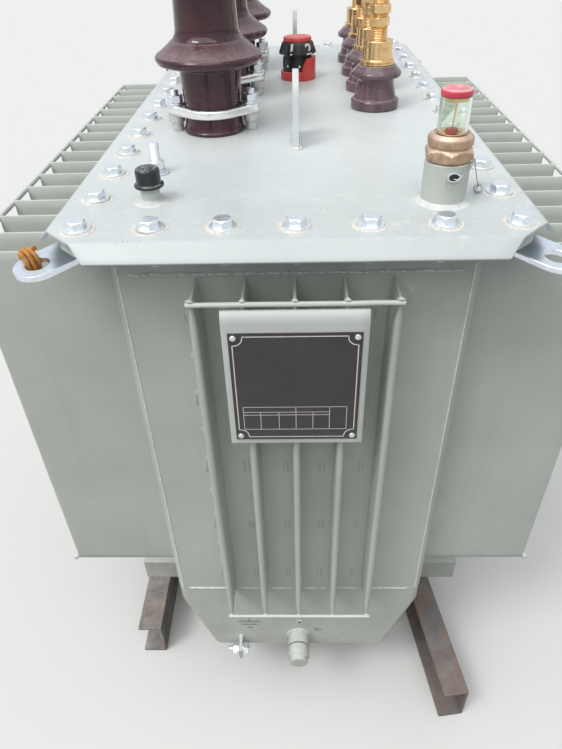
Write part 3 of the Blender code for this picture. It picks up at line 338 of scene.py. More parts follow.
def rusty_steel():
    """Rolled channel: grey mill scale where it is sheltered, orange rust on its edges and flanges."""
    look = Look("rusty_channel", "rusty_steel", metallic=0.0)
    broad = look.noise(8, 5, 0.7, look.stretched((1, 0.45, 1)))
    fine = look.noise(70, 6, 0.75)
    rust = look.mix(look.ramp(fine, 0.3, 0.7), (0.22, 0.095, 0.045), (0.52, 0.27, 0.13))
    scale = look.mix(look.ramp(look.noise(26, 5, 0.7), 0.35, 0.65), (0.17, 0.175, 0.185), (0.36, 0.345, 0.33))
    amount = look.maths("ADD", look.ramp(broad, 0.47, 0.66), look.ramp(look.up, 0.4, 0.9, 0.0, 0.15))
    amount = look.maths("MINIMUM", look.times(amount, look.ramp(fine, 0.25, 0.5, 0.55, 1.0)), 1.0)
    body = look.mix(amount, scale, rust)
    chalk = look.times(look.ramp(look.noise(33, 6, 0.8), 0.56, 0.70), look.ramp(look.up, -0.2, 0.6, 0.25, 0.8))
    body = look.mix(look.times(chalk, 0.45), body, (0.50, 0.42, 0.34))
    # Painted shade: the colour darkens towards the right-hand channel, which stands in shade.
    body = look.mix(look.ramp(look.x, 0.0, 0.20, 0.0, 0.45), body, (0.085, 0.080, 0.085))
    look.set("Base Color", body)
    look.set("Roughness", look.ramp(fine, 0.3, 0.7, 0.62, 0.92))
    under = look.bump(look.noise(40, 5, 0.7), 0.0012)
    look.bump(look.noise(330, 5, 0.8), 0.00045, under)
    return look


def simple(name, slot, dark, light, scale, roughness, depth, metallic=0.0):
    """Two tones in patches with a matching bump."""
    look = Look(name, slot, metallic=metallic)
    patch = look.noise(scale, 5, 0.65)
    look.set("Base Color", look.mix(look.ramp(patch, 0.35, 0.65), dark, light))
    look.set("Roughness", look.ramp(look.noise(scale * 3, 3), 0.3, 0.7, roughness * 0.85, min(1, roughness * 1.15)))
    look.bump(look.noise(scale * 4, 4, 0.7), depth)
    return look


def clear_glass():
    look = Look("gauge_tube", "gauge_glass", (0.93, 0.97, 0.93), 0.03)
    look.set("Transmission Weight", 1.0)
    look.set("IOR", 1.46)
    smear = look.ramp(look.noise(120, 5, 0.7), 0.5, 0.75)
    look.set("Roughness", look.ramp(smear, 0.0, 1.0, 0.02, 0.16))
    look.bump(look.noise(60, 2), 0.00008)
    return look


def oil():
    look = Look("gauge_oil", "gauge_glass", (0.80, 0.86, 0.60), 0.02)
    look.set("Transmission Weight", 1.0)
    look.set("IOR", 1.12)
    look.set("Base Color", look.mix(look.ramp(look.z, DECK + 0.070, DECK + 0.100), (0.955, 0.975, 0.86), (0.975, 0.985, 0.93)))
    look.bump(look.noise(90, 2), 0.00005)
    return look


ENAMEL = (0.545, 0.582, 0.538)
TANK = paint("tank_enamel", "tank_paint", ENAMEL, 0.60)
COVER = cover_paint()
WELD = simple("weld_bead", "tank_paint", (0.50, 0.53, 0.50), (0.70, 0.73, 0.69), 130, 0.30, 0.0004)
# Painted highlights: pale glossy crests on the weld under the cover, and thin bright lines at the end walls' chamfered
# corners.
GLINT = simple("weld_glint", "tank_paint", (0.78, 0.81, 0.78), (0.93, 0.95, 0.92), 150, 0.16, 0.0002)
# Painted light: a lighter copy of the tank enamel, with more pale on its tops, so that the plate holder, the tie rods,
# their welds and the sampling screw look lit.
LIT_ENAMEL = paint("lit_enamel", "tank_paint", (0.66, 0.70, 0.67), 0.85)
COVER_WELD = simple("cover_weld", "cover_paint", (0.62, 0.65, 0.64), (0.80, 0.82, 0.80), 90, 0.26, 0.0004)
GLAZE = porcelain("glaze", (0.047, 0.012, 0.018))
GLAZE_DARK = porcelain("glaze_low", (0.112, 0.068, 0.080))
BRASS = metal("turned_brass", "brass", (0.80, 0.55, 0.28), (0.56, 0.38, 0.18), 0.24, ridges=0.00002, tarnish=(0.52, 0.72))
BRONZE = bronze()
ZINC = zinc("zinc", (0.82, 0.89, 0.96), 170, 0.14, 0.30)
BOLT_ZINC = zinc("bolt_zinc", (0.86, 0.90, 0.94), 420, 0.08, 0.34)
CASTING = cast()
SPACER = simple("clamp_spacer", "cast_aluminium", (0.56, 0.55, 0.53), (0.78, 0.77, 0.75), 150, 0.5, 0.0002, 0.3)
RED = plastic("red_moulding", "red_plastic", (0.72, 0.075, 0.070), 0.34, 0.22)
# Painted light: the gauge cap's top is laid evenly with pale pink, standing in for sunlight on it.
RED_CAP_LIT_TOP = plastic("red_gauge_cap_lit_top", "red_plastic", (0.84, 0.065, 0.115), 0.16, 0.72, -0.2)
BLACK = plastic("black_moulding", "black_plastic", (0.016, 0.017, 0.019), 0.32, 0.10)
BLACK_GLOSS = plastic("black_lid", "black_plastic", (0.014, 0.016, 0.022), 0.14, 0.45)
WHITE = simple("white_print", "black_plastic", (0.72, 0.72, 0.72), (0.86, 0.86, 0.86), 300, 0.5, 0.00002)
RUBBER = simple("gasket", "gasket_rubber", (0.020, 0.020, 0.020), (0.045, 0.044, 0.042), 90, 0.75, 0.0002)
SEALANT = simple("dust_ring", "cover_paint", (0.64, 0.60, 0.53), (0.84, 0.82, 0.78), 260, 0.6, 0.0003)
PLATE = plastic("plate_face", "plate_black", (0.040, 0.036, 0.038), 0.40, 0.22)
SILVER = simple("plate_metal", "plate_black", (0.62, 0.58, 0.55), (0.80, 0.76, 0.72), 240, 0.36, 0.00003, 0.9)
RUST = rusty_steel()
HIDDEN = simple("plain_steel", "bare_steel", (0.30, 0.30, 0.31), (0.38, 0.38, 0.39), 30, 0.5, 0.0002)
GLASS = clear_glass()
OIL = oil()
LEAD = simple("seal_lead", "zinc", (0.34, 0.35, 0.37), (0.52, 0.53, 0.55), 260, 0.45, 0.0002, 0.8)
WIRE = simple("seal_wire", "zinc", (0.26, 0.25, 0.24), (0.46, 0.45, 0.43), 300, 0.4, 0.00002, 0.8)
# Painted shade: the earthing symbol's raised lines drawn dark, standing in for the shadows of the embossing.
EMBOSS_SHADE = simple("earth_symbol_shade", "tank_paint", (0.15, 0.165, 0.16), (0.27, 0.29, 0.28), 200, 0.5, 0.0001)
CHALK = simple("smudge", "tank_paint", (0.62, 0.64, 0.62), (0.80, 0.81, 0.79), 400, 0.8, 0.0001)
BARE = simple("chipped_spot", "tank_paint", (0.24, 0.21, 0.18), (0.40, 0.37, 0.33), 500, 0.6, 0.0001)


def rope_look():
    look = Look("rope_fibre", "red_plastic")
    strand = look.noise(900, 4, 0.7)
    tone = look.ramp(look.noise(120, 4, 0.6), 0.35, 0.65)
    body = look.mix(tone, (0.36, 0.125, 0.028), (0.66, 0.30, 0.075))
    look.set("Base Color", look.mix(look.ramp(strand, 0.45, 0.7, 0.0, 0.5), body, (0.80, 0.50, 0.20)))
    look.set("Roughness", 0.8)
    look.bump(strand, 0.0004)
    return look


ROPE = rope_look()


# Mesh tools. Everything is built in the part's own frame, so objects stay at the origin.
def add(name, shape, look, body="tank", angle=40, replaces=()):
    bmesh.ops.recalc_face_normals(shape, faces=shape.faces)
    mesh = bpy.data.meshes.new(name)
    shape.to_mesh(mesh)
    shape.free()
    mesh.shade_smooth()
    mesh.set_sharp_from_angle(angle=math.radians(angle))
    piece = bpy.data.objects.new(name, mesh)
    SCENE.collection.objects.link(piece)
    mesh.materials.append(look.made)
    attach(piece, body)
    if replaces:
        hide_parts(*replaces)
    return piece


def skin(shape, rings, caps=True, loop=False):
    rows = [[shape.verts.new(point) for point in ring] for ring in rings]
    count = len(rows[0])
    pairs = list(zip(rows, rows[1:]))
    if loop:
        pairs.append((rows[-1], rows[0]))
    for lower, upper in pairs:
        for i in range(count):
            j = (i + 1) % count
            shape.faces.new((lower[i], lower[j], upper[j], upper[i]))
    if caps and not loop:
        shape.faces.new(tuple(reversed(rows[0])))
        shape.faces.new(tuple(rows[-1]))
    return [vert for row in rows for vert in row]


def move(shape, verts, centre, turn=None):
    if turn:
        bmesh.ops.rotate(shape, verts=verts, matrix=turn.to_3x3())
    bmesh.ops.translate(shape, verts=verts, vec=Vector(centre))


TO_FRONT = Matrix.Rotation(math.pi / 2, 4, "X")
TO_RIGHT = Matrix.Rotation(math.pi / 2, 4, "Y")


def turned(shape, profile, centre, steps=48, turn=None, loop=False):
    """Turn (radius, height) pairs round the upright axis, then lay them along another one if told."""
    rings = [[(r * math.cos(TAU * i / steps), r * math.sin(TAU * i / steps), z) for i in range(steps)]
             for r, z in profile]
    verts = skin(shape, rings, caps=not loop, loop=loop)
    move(shape, verts, centre, turn)
    return verts


def rounded(profile, radius, steps=4):
    """Round the inner corners of a (radius, height) profile."""
    points = [profile[0]]
    for before, here, after in zip(profile, profile[1:], profile[2:]):
        a, b, c = Vector(before), Vector(here), Vector(after)
        into, out = (a - b), (c - b)
        reach = min(radius, into.length / 2.05, out.length / 2.05)
        if reach < 1e-6:
            points.append(here)
            continue
        start, end = b + into.normalized() * reach, b + out.normalized() * reach
        for i in range(steps + 1):
            t = i / steps
            points.append(tuple((1 - t) ** 2 * start + 2 * t * (1 - t) * b + t ** 2 * end))
    points.append(profile[-1])
    return points


def hexagon(shape, centre, across, height, spin=0.0, both=True, turn=None, bore=0.0, steps=48, slope=0.58):
    """Hexagon nut or head: the flats meet a chamfer cone, which leaves the scalloped corners."""
    apothem = across / 2
    corner = apothem / math.cos(math.pi / 6)
    chamfer = apothem * (0.96 if slope < 0.6 else 0.92)
    drop = (corner - chamfer) * slope
    levels = [0.0, drop * 0.5, drop] if both else [0.0]
    levels += [height - drop, height - drop * 0.66, height - drop * 0.33, height]
    rings = []
    for z in levels:
        limit = chamfer + (height - z) / slope
        if both:
            limit = min(limit, chamfer + z / slope)
        ring = []
        for i in range(steps):
            angle = TAU * i / steps
            folded = (angle % (math.pi / 3)) - math.pi / 6
            radius = min(apothem / math.cos(folded), limit)
            ring.append((radius * math.cos(angle + spin), radius * math.sin(angle + spin), z))
        rings.append(ring)
    if bore:
        for z in (height, 0.0):
            rings.append([(bore * math.cos(TAU * i / steps + spin), bore * math.sin(TAU * i / steps + spin), z)
                          for i in range(steps)])
        verts = skin(shape, rings, loop=True)
    else:
        verts = skin(shape, rings)
    move(shape, verts, centre, turn)
    return verts


def thread(shape, centre, radius, low, high, pitch, turn=None, steps=24):
    """Screw thread drawn as close ridges, with a chamfered end."""
    depth = pitch * 0.45
    profile = [(radius - depth, low)]
    z = low
    while z + pitch < high - pitch * 0.5:
        profile += [(radius, z + pitch * 0.5), (radius - depth, z + pitch)]
        z += pitch
    profile += [(radius - depth * 0.3, high - pitch * 0.7), (radius - depth * 1.4, high)]
    return turned(shape, profile, centre, steps, turn)


def sweep(shape, points, radius, steps=8, loop=False, squash=None):
    """Tube along points; radius is a number or a function of the point's number."""
    path = [Vector(p) for p in points]
    count = len(path)
    rings = []
    side = None
    for i, point in enumerate(path):
        ahead = path[(i + 1) % count] if loop or i + 1 < count else point
        behind = path[i - 1] if loop or i > 0 else point
        along = (ahead - behind).normalized()
        if side is None:
            side = along.orthogonal().normalized()
        side = (side - along * side.dot(along)).normalized()
        other = along.cross(side)
        r = radius(i) if callable(radius) else radius
        rings.append([point + (side * math.cos(TAU * k / steps) + other * math.sin(TAU * k / steps)) * r
                      for k in range(steps)])
    return skin(shape, rings, loop=loop)


def bead(shape, points, radius, seed, loop=False, ripple=0.0032):
    """Weld bead: a tube sunk in the joint whose width wanders and ripples."""
    step = 0.0016
    fine = []
    path = [Vector(p) for p in points]
    if loop:
        path.append(path[0])
    for a, b in zip(path, path[1:]):
        count = max(1, round((b - a).length / step))
        fine += [a.lerp(b, i / count) for i in range(count)]
    if not loop:
        fine.append(path[-1])
    jitter = []
    for i, point in enumerate(fine):
        wander = field.noise_vector(point * 60 + Vector((seed, seed * 0.7, 0))) * radius * 0.18
        jitter.append(point + wander)

    def size(i):
        wave = 1 + 0.16 * math.sin(TAU * i * step / ripple)
        slow = 1 + 0.25 * field.noise(fine[i] * 45 + Vector((0, seed, seed)))
        end = 1.0 if loop else min(1.0, (min(i, len(fine) - 1 - i) + 1.2) / 3)
        return radius * wave * slow * end
    return sweep(shape, jitter, size, 7, loop)


def ring_points(centre, radius, steps=48, height=0.0):
    return [(centre[0] + radius * math.cos(TAU * i / steps), centre[1] + radius * math.sin(TAU * i / steps),
             centre[2] + height) for i in range(steps)]


def block(shape, low, high, chamfer=0.0008):
    """Box with chamfered edges."""
    made = bmesh.ops.create_cube(shape, size=1)
    verts = made["verts"]
    span = Vector(high) - Vector(low)
    bmesh.ops.scale(shape, verts=verts, vec=span)
    bmesh.ops.translate(shape, verts=verts, vec=(Vector(high) + Vector(low)) / 2)
    edges = list({edge for vert in verts for edge in vert.link_edges})
    if chamfer:
        bmesh.ops.bevel(shape, geom=edges, offset=chamfer, segments=2, profile=0.5, affect="EDGES")


# CAD nodes that stay: edges softened, each with its node material.
def dress(node, look, width=0.0009, segments=2, limit=30):
    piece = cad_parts[node]
    piece.data.materials.clear()
    piece.data.materials.append(look.made)
    weld = piece.modifiers.new("weld", "WELD")
    weld.merge_threshold = 0.00001
    bevel = piece.modifiers.new("bevel", "BEVEL")
    bevel.width = width
    bevel.segments = segments
    bevel.limit_method = "ANGLE"
    bevel.angle_limit = math.radians(limit)
    bevel.use_clamp_overlap = True
    shade = piece.modifiers.new("shade", "WEIGHTED_NORMAL")
    shade.keep_sharp = False


for node in ("tank_bottom", "cross_member_front", "cross_member_back", "tank_flange"):
    dress(node, TANK, 0.0014, 3)
for node in ("cover_lug_front", "cover_lug_back"):
    dress(node, COVER, 0.0012, 3)
for node in ("corner_eye_front_left", "corner_eye_front_right", "corner_eye_back_left", "corner_eye_back_right"):
    dress(node, ZINC, 0.0010, 3)
for node in ("stand_channel_left", "stand_channel_right"):
    dress(node, RUST, 0.0018, 3)
dress("cover_gasket", RUBBER, 0.0008)
dress("core_and_windings", HIDDEN, 0.004)


# Walls: folded fins that narrow at both ends, tied by thin rods, on plates that meet at bright edges.
END_FINS = [(i - 2) * 0.053 for i in range(5)]
SIDE_FINS = [(i - 8) * 0.0505 for i in range(17)]
END_DEPTH, SIDE_DEPTH = 0.0486, 0.174
END_TOP, END_LOW = 0.8875, 0.3100
SIDE_TOP, SIDE_LOW = 0.8995, 0.3320
WALL_LOW, WALL_TOP = 0.3121, 0.9315
ROD_Y = WALL_Y + END_DEPTH + 0.0018
ROD_X = WALL_X + SIDE_DEPTH + 0.0028
END_RODS = (0.8842, 0.3122)
SIDE_RODS = (SIDE_TOP - 0.0042, SIDE_LOW + 0.0050)


def folded_fin(shape, along, side, face, depth, low, top, turned_plan):
    """One fin from its pinched foot to its pinched top, with a round fold at its tip."""
    levels = [(low, 0.0020, 0.0010), (low + 0.0010, 0.0034, 0), (low + 0.012, 0.0052, 0), (low + 0.030, 0.0088, 0)]
    levels += [(low + (top - low) * share, 0.0092, 0) for share in (0.2, 0.35, 0.5, 0.65, 0.8)]
    levels += [(top - 0.030, 0.0086, 0), (top - 0.012, 0.0054, 0), (top - 0.0008, 0.0034, 0), (top, 0.0022, 0.0008)]
    rings = []
    for z, width, short in levels:
        half = width / 2
        middle = along + 0.0006 * field.noise(Vector((along * 40, side, z * 6)))
        end = face + depth - short - half
        ring = [(middle + half, face - 0.002)]
        ring += [(middle + half * math.cos(math.pi * i / 10), end + half * math.sin(math.pi * i / 10)) for i in range(11)]
        ring.append((middle - half, face - 0.002))
        rings.append([(side * out, a, z) if turned_plan else (a, side * out, z) for a, out in ring])
    skin(shape, rings)


def tie_rod(shape, reach, out, side, z, radius, turned_plan):
    points = []
    for step in range(-16, 17):
        a = reach * step / 16
        sag = z + 0.0004 * field.noise(Vector((a * 30, side, z)))
        points.append((side * out, a, sag) if turned_plan else (a, side * out, sag))
    sweep(shape, points, radius, 12)


def end_wall(name, side, node):
    """Front or back wall, its edges chamfered where the side walls are welded on."""
    shape = bmesh.new()
    chamfer, sheet, back = 0.0085, 0.004, 0.022
    outer = [(WALL_X, WALL_Y - back), (WALL_X, WALL_Y - chamfer), (WALL_X - chamfer, WALL_Y)]
    inner = [(x - sheet if x > WALL_X - 0.001 else x - 0.4 * sheet, y if y < WALL_Y - 0.01 else y - 0.4 * sheet)
             for x, y in outer[:2]] + [(WALL_X - chamfer - 0.4 * sheet, WALL_Y - sheet)]
    outer += [(-x, y) for x, y in outer[::-1]]
    inner += [(-x, y) for x, y in inner[::-1]]
    plan = outer + inner[::-1]
    skin(shape, [[(x, side * y, z) for x, y in plan] for z in (WALL_LOW, WALL_TOP)])
    for x in END_FINS:
        folded_fin(shape, x, side, WALL_Y, END_DEPTH, END_LOW, END_TOP, False)
    add(name, shape, TANK, angle=35, replaces=[node])


def side_wall(name, side, node):
    shape = bmesh.new()
    half = WALL_Y - 0.0223
    low, high = (side * (WALL_X - 0.004), -half, WALL_LOW), (side * WALL_X, half, WALL_TOP)
    block(shape, [min(a, b) for a, b in zip(low, high)], [max(a, b) for a, b in zip(low, high)], 0)
    for y in SIDE_FINS:
        folded_fin(shape, y, side, WALL_X, SIDE_DEPTH, SIDE_LOW, SIDE_TOP, True)
    add(name, shape, TANK, angle=35, replaces=[node])


def tie_rods():
    """Thin rods along the fins' tips, with a blob of weld at each fin."""
    rods, blobs = bmesh.new(), bmesh.new()
    for side in (-1, 1):
        for z in END_RODS:
            tie_rod(rods, END_FINS[-1] + 0.0045, ROD_Y, side, z, 0.0028 if z > 0.5 else 0.0024, False)
            for x in END_FINS:
                foot = Vector((x, side * (ROD_Y - 0.0002), z + 0.0006))
                reach = Vector((0.0006, -side * 0.0022, 0.0046 if z > 0.5 else 0.0026))
                wide = 0.0044 if abs(x) > 0.1 and z > 0.5 else 0.0037
                bead(blobs, [foot, foot + reach * 0.5, foot + reach], wide, x * 90 + z, ripple=0.02)
        for z in SIDE_RODS:
            tie_rod(rods, SIDE_FINS[-1] + 0.006, ROD_X, side, z, 0.0036, True)
            for y in SIDE_FINS:
                foot = Vector((side * (ROD_X - 0.0004), y, z + 0.0006))
                reach = Vector((-side * 0.0030, 0.0006, 0.0034 if z > 0.5 else -0.0034))
                bead(blobs, [foot, foot + reach * 0.5, foot + reach], 0.0040, y * 70 + z, ripple=0.02)
    add("tie_rods", rods, LIT_ENAMEL)
    add("tie_rod_welds", blobs, LIT_ENAMEL)


end_wall("end_wall_front", -1, "tank_wall_front")
end_wall("end_wall_back", 1, "tank_wall_back")
side_wall("side_wall_left", -1, "tank_wall_left")
side_wall("side_wall_right", 1, "tank_wall_right")
tie_rods()


# Cover: one sheet with its four edges bent down, rounded at the folds, with cut corners.
COVER_SHEET = 0.005
LIP_DROP = 0.016
CORNER_CUT = 0.0286
BEND = 0.007


def cover_sheet():
    start = BEND * math.tan(math.pi / 8)
    section = []
    for i in range(7):
        angle = math.pi / 4 * i / 6
        section.append((-start + BEND * math.sin(angle), -BEND * (1 - math.cos(angle))))
    section.append((LIP_DROP * 0.75, -LIP_DROP * 0.75))
    section.append((LIP_DROP, -LIP_DROP))
    shape = bmesh.new()
    tops = []
    for turn in range(4):
        along_x = turn % 2 == 0
        fold, half = (FOLD_X, FOLD_Y) if along_x else (FOLD_Y, FOLD_X)
        heading = Matrix.Rotation(turn * math.pi / 2, 3, "Z")
        cuts = 24
        rows = []
        for u, drop in section:
            reach = half - CORNER_CUT - (u if u < 0 else 0.95 * u)
            row = []
            for k in range(cuts + 1):
                share = -1 + 2 * k / cuts
                wave = 0.0004 * field.noise(Vector((turn * 7.3, share * 3.1, u * 20))) * max(0, u) / LIP_DROP
                row.append(shape.verts.new(heading @ Vector((fold + u + wave, share * reach, DECK + drop))))
            rows.append(row)
        for lower, upper in zip(rows, rows[1:]):
            for k in range(cuts):
                shape.faces.new((lower[k], upper[k], upper[k + 1], lower[k + 1]))
        tops.append(rows[0])
    rim = [vert for row in tops for vert in row]
    shape.faces.new(rim)
    bmesh.ops.triangulate(shape, faces=[face for face in shape.faces if len(face.verts) > 4])
    piece = add("cover_plate", shape, COVER, angle=50, replaces=["tank_cover"])
    thick = piece.modifiers.new("thickness", "SOLIDIFY")
    thick.thickness = COVER_SHEET
    thick.offset = -1
    thick.use_even_offset = True
    edge = piece.modifiers.new("edge", "BEVEL")
    edge.width = 0.0012
    edge.segments = 2
    edge.limit_method = "ANGLE"
    edge.angle_limit = math.radians(50)


cover_sheet()


def pipes():
    """The gauge's pipe and the filler's stub, each in a ring of weld on the cover."""
    shape = bmesh.new()
    turned(shape, rounded([(0.0228, -0.001), (0.0228, 0.0413), (0.0222, 0.0418), (0.019, 0.0418)], 0.0008), GAUGE, 64)
    turned(shape, rounded([(0.0103, -0.001), (0.0103, 0.0160), (0.008, 0.0162)], 0.0008), FILLER, 40)
    add("cover_stubs", shape, TANK)
    shape = bmesh.new()
    for centre, radius, wide in ((GAUGE, 0.0228, 0.0066), (FILLER, 0.0103, 0.0092)):
        rings = []
        for i in range(96):
            a = TAU * i / 96
            out = Vector((math.cos(a), math.sin(a), 0))
            reach = wide * (1 + 0.10 * field.noise(centre * 9 + out * 2.3) + 0.03 * math.sin(31 * a))
            rise = 0.0040 * (1 + 0.16 * field.noise(centre * 5 + out * 3.1))
            section = [(-0.001, -0.001), (-0.001, rise), (0.0004, rise * 0.86), (reach * 0.34, rise * 0.60), (reach * 0.70, rise * 0.36),
                       (reach * 0.94, rise * 0.14), (reach, 0.0), (reach * 0.95, -0.001)]
            rings.append([centre + out * (radius + r) + Vector((0, 0, z)) for r, z in section])
        skin(shape, rings, loop=True)
    for low, high in ((-0.236, -0.166), (0.287, 0.357)):
        for side in (-1, 1):
            x = 0.003 + side * 0.0052
            bead(shape, [(x, low, DECK + 0.0008), (x, high, DECK + 0.0008)], 0.0032, low + side)
        for y, out in ((low, -0.001), (high, 0.001)):
            bead(shape, [(-0.002, y + out, DECK + 0.0008), (0.008, y + out, DECK + 0.0008)], 0.0028, y)
    add("cover_welds", shape, COVER_WELD)


pipes()


# Cover bolts: zinc hexagon heads on washers, each in a pale ring of dust, with a nut below the flange.
def cover_bolts():
    shift = 0.0026
    spots = []
    for i in range(7):
        x = shift - BOLT_X + i * 0.072
        spots += [(x, -BOLT_Y), (x, BOLT_Y)]
    for i in range(1, 12):
        y = -BOLT_Y + i * 0.078
        spots += [(shift - BOLT_X, y), (shift + BOLT_X, y)]
    heads, washers, rings, below = bmesh.new(), bmesh.new(), bmesh.new(), bmesh.new()
    chance = random.Random(11)
    for x, y in spots:
        spin = chance.uniform(0, math.pi / 3)
        lean = Matrix.Rotation(chance.uniform(-0.02, 0.02), 4, "X") @ Matrix.Rotation(chance.uniform(-0.02, 0.02), 4, "Y")
        wx, wy = x + chance.uniform(-0.0008, 0.0008), y + chance.uniform(-0.0008, 0.0008)
        turned(washers, rounded([(0.004, 0.0), (0.0140, 0.0), (0.0140, 0.0026), (0.004, 0.0026)], 0.0006, 3),
               (wx, wy, DECK + 0.0003), 40, lean)
        hexagon(heads, (x, y, DECK + 0.0028), 0.0180, 0.0072, spin, both=False, slope=0.75)
        rx, ry = x + chance.uniform(-0.0010, 0.0010), y + chance.uniform(-0.0010, 0.0010)
        loops = []
        for i in range(48):
            a = TAU * i / 48
            out = Vector((math.cos(a), math.sin(a), 0))
            reach = 0.0180 + 0.0016 * field.noise(Vector((rx * 70, ry * 70, 0)) + out * 1.8) + 0.0006 * field.noise(out * 7 + Vector((rx, ry, 0)) * 300)
            loops.append([Vector((rx, ry, DECK)) + out * r + Vector((0, 0, z))
                          for r, z in ((reach, -0.0004), (reach - 0.0004, 0.0005), (reach - 0.0018, 0.0009), (0.0137, 0.0007), (0.0130, -0.0004))])
        skin(rings, loops, loop=True)
        corner = abs(x - shift) > BOLT_X - 0.001 and abs(y) > BOLT_Y - 0.001
        if not corner:
            base = DECK - 0.0206
            turned(below, rounded([(0.004, 0.0), (0.0125, 0.0), (0.0125, -0.0022), (0.004, -0.0022)], 0.0005, 2),
                   (x, y, base - 0.0002), 32)
            hexagon(below, (x, y, base - 0.0124), 0.0180, 0.0098, chance.uniform(0, 1))
            thread(below, (x, y, 0), 0.0060, base - 0.0185, base - 0.0100, 0.00175)
    add("cover_bolt_heads", heads, BOLT_ZINC, angle=25)
    add("cover_bolt_washers", washers, BOLT_ZINC)
    add("cover_bolt_rings", rings, SEALANT)
    add("flange_nuts", below, BOLT_ZINC, angle=25)


cover_bolts()


# High voltage bushings: two sheds each, in a clamp on two legs, with a stud and nuts on top.
def shed(body, rim, underside, rim_bottom, rim_top, shoulder):
    """Shed with a straight slope on top, a rounded rim that turns in below, and a fillet at its root."""
    points = [(body, underside - 0.004), (body, underside), (rim - 0.0052, rim_bottom - 0.0006), (rim - 0.0036, rim_bottom)]
    points += [(rim - 0.0012, rim_bottom + 0.0026), (rim, rim_top - 0.0046), (rim - 0.0003, rim_top - 0.0026),
               (rim - 0.0016, rim_top - 0.0006), (rim - 0.0042, rim_top + 0.0010)]
    root = 0.0075
    for i in range(7):
        along = i / 6
        top = shoulder - 0.003
        points.append((rim - 0.0042 + (body + root - rim + 0.0042) * along,
                       rim_top + 0.0010 + (top - rim_top - 0.0010) * along - 0.0006 * math.sin(math.pi * along)))
    start = Vector(points[-1])
    corner, end = Vector((body + 0.0010, shoulder + 0.0008)), Vector((body, shoulder + 0.0110))
    for i in range(1, 9):
        t = i / 8
        points.append(tuple((1 - t) ** 2 * start + 2 * t * (1 - t) * corner + t ** 2 * end))
    return points


def clamp_bar(number, y):
    """Cast clamp: a ring round the porcelain that runs out to an ear at each leg."""
    low, high, bore, ring, ear, place = 0.0226, 0.0343, 0.0392, 0.0447, 0.0124, 0.052
    tangent = math.acos((ring - ear) / place)
    outer = []
    for i in range(96):
        a = TAU * i / 96
        folded = math.atan2(abs(math.sin(a)), abs(math.cos(a)))
        near = ring / math.cos(folded - tangent) if folded < tangent else ring
        aside = place * math.sin(folded)
        far = place * math.cos(folded) + math.sqrt(ear ** 2 - aside ** 2) if aside < ear else 0
        limit = far if math.hypot(far * math.cos(folded) - place, far * math.sin(folded)) > 0 and far > 0 else near
        outer.append((a, min(near, limit)))
    rings = []
    for inset, z in ((0.0022, low), (0.0006, low + 0.0007), (0, low + 0.0024), (0, high - 0.0034),
                     (0.0006, high - 0.0016), (0.0018, high - 0.0004), (0.0036, high)):
        rings.append([(HV_X + (r - inset) * math.cos(a), y + (r - inset) * math.sin(a), DECK + z) for a, r in outer])
    for radius, z in ((bore + 0.0012, high), (bore, high - 0.0012), (bore, low + 0.0008), (bore + 0.0008, low)):
        rings.append([(HV_X + radius * math.cos(a), y + radius * math.sin(a), DECK + z) for a, r in outer])
    shape = bmesh.new()
    skin(shape, rings, loop=True)
    add(f"hv_clamp_bar_{number}", shape, CASTING, angle=50, replaces=[f"hv_clamp_{number}"])


def hv_bushing(number, y):
    foot = [(0.0300, 0.0003), (0.0418, 0.0003), (0.0430, 0.0014), (0.0430, 0.0036), (0.0418, 0.0050),
            (0.0406, 0.0085), (0.0385, 0.0225), (0.0385, 0.0343), (0.0396, 0.0450)]
    profile = foot + shed(0.041, 0.071, 0.080, 0.087, 0.0975, 0.1155) + shed(0.039, 0.062, 0.176, 0.182, 0.1915, 0.207)
    profile += [(0.0375, 0.235), (0.0340, 0.246), (0.0290, 0.252), (0.020, 0.252)]
    shape = bmesh.new()
    turned(shape, rounded(profile, 0.004, 4), (HV_X, y, DECK), 96)
    add(f"hv_porcelain_{number}", shape, GLAZE, angle=60, replaces=[f"hv_bushing_{number}"])

    shape = bmesh.new()
    top = DECK + 0.0225 + 0.0118
    for side in (-1, 1):
        x = HV_X + side * 0.052
        turned(shape, rounded([(0.003, 0), (0.0125, 0), (0.0125, 0.0022), (0.003, 0.0022)], 0.0005, 2),
               (x, y, top + 0.0002), 36)
        hexagon(shape, (x, y, top + 0.0024), 0.0190, 0.0100, 0.3 + number + side)
        thread(shape, (x, y, top), 0.0060, 0.0, 0.0185, 0.00175)
    add(f"hv_clamp_nuts_{number}", shape, BOLT_ZINC, angle=25)

    clamp_bar(number, y)
    shape = bmesh.new()
    for side in (-1, 1):
        x = HV_X + side * 0.052
        profile = [(0.004, 0.0), (0.0072, 0.0), (0.0080, 0.0006), (0.0082, 0.0104), (0.0088, 0.0108),
                   (0.0106, 0.0116), (0.0110, 0.0124), (0.0113, 0.0216), (0.0108, 0.0222), (0.004, 0.0222)]
        turned(shape, profile, (x, y, DECK + 0.0002), 36)
    add(f"hv_clamp_spacers_{number}", shape, SPACER)

    shape = bmesh.new()
    base = DECK + 0.2523
    turned(shape, rounded([(0.010, 0), (0.0238, 0), (0.0238, 0.010), (0.0215, 0.014), (0.010, 0.014)], 0.0015), (HV_X, y, base), 64)
    hexagon(shape, (HV_X, y, base + 0.0142), 0.0190, 0.0098, 0.4 * number)
    thread(shape, (HV_X, y, 0), 0.0060, base + 0.012, base + 0.048, 0.00175)
    add(f"hv_stud_{number}", shape, BRASS, angle=25, replaces=[f"hv_terminal_{number}"])


for i, y in enumerate(HV_ROW):
    hv_bushing(i + 1, y)


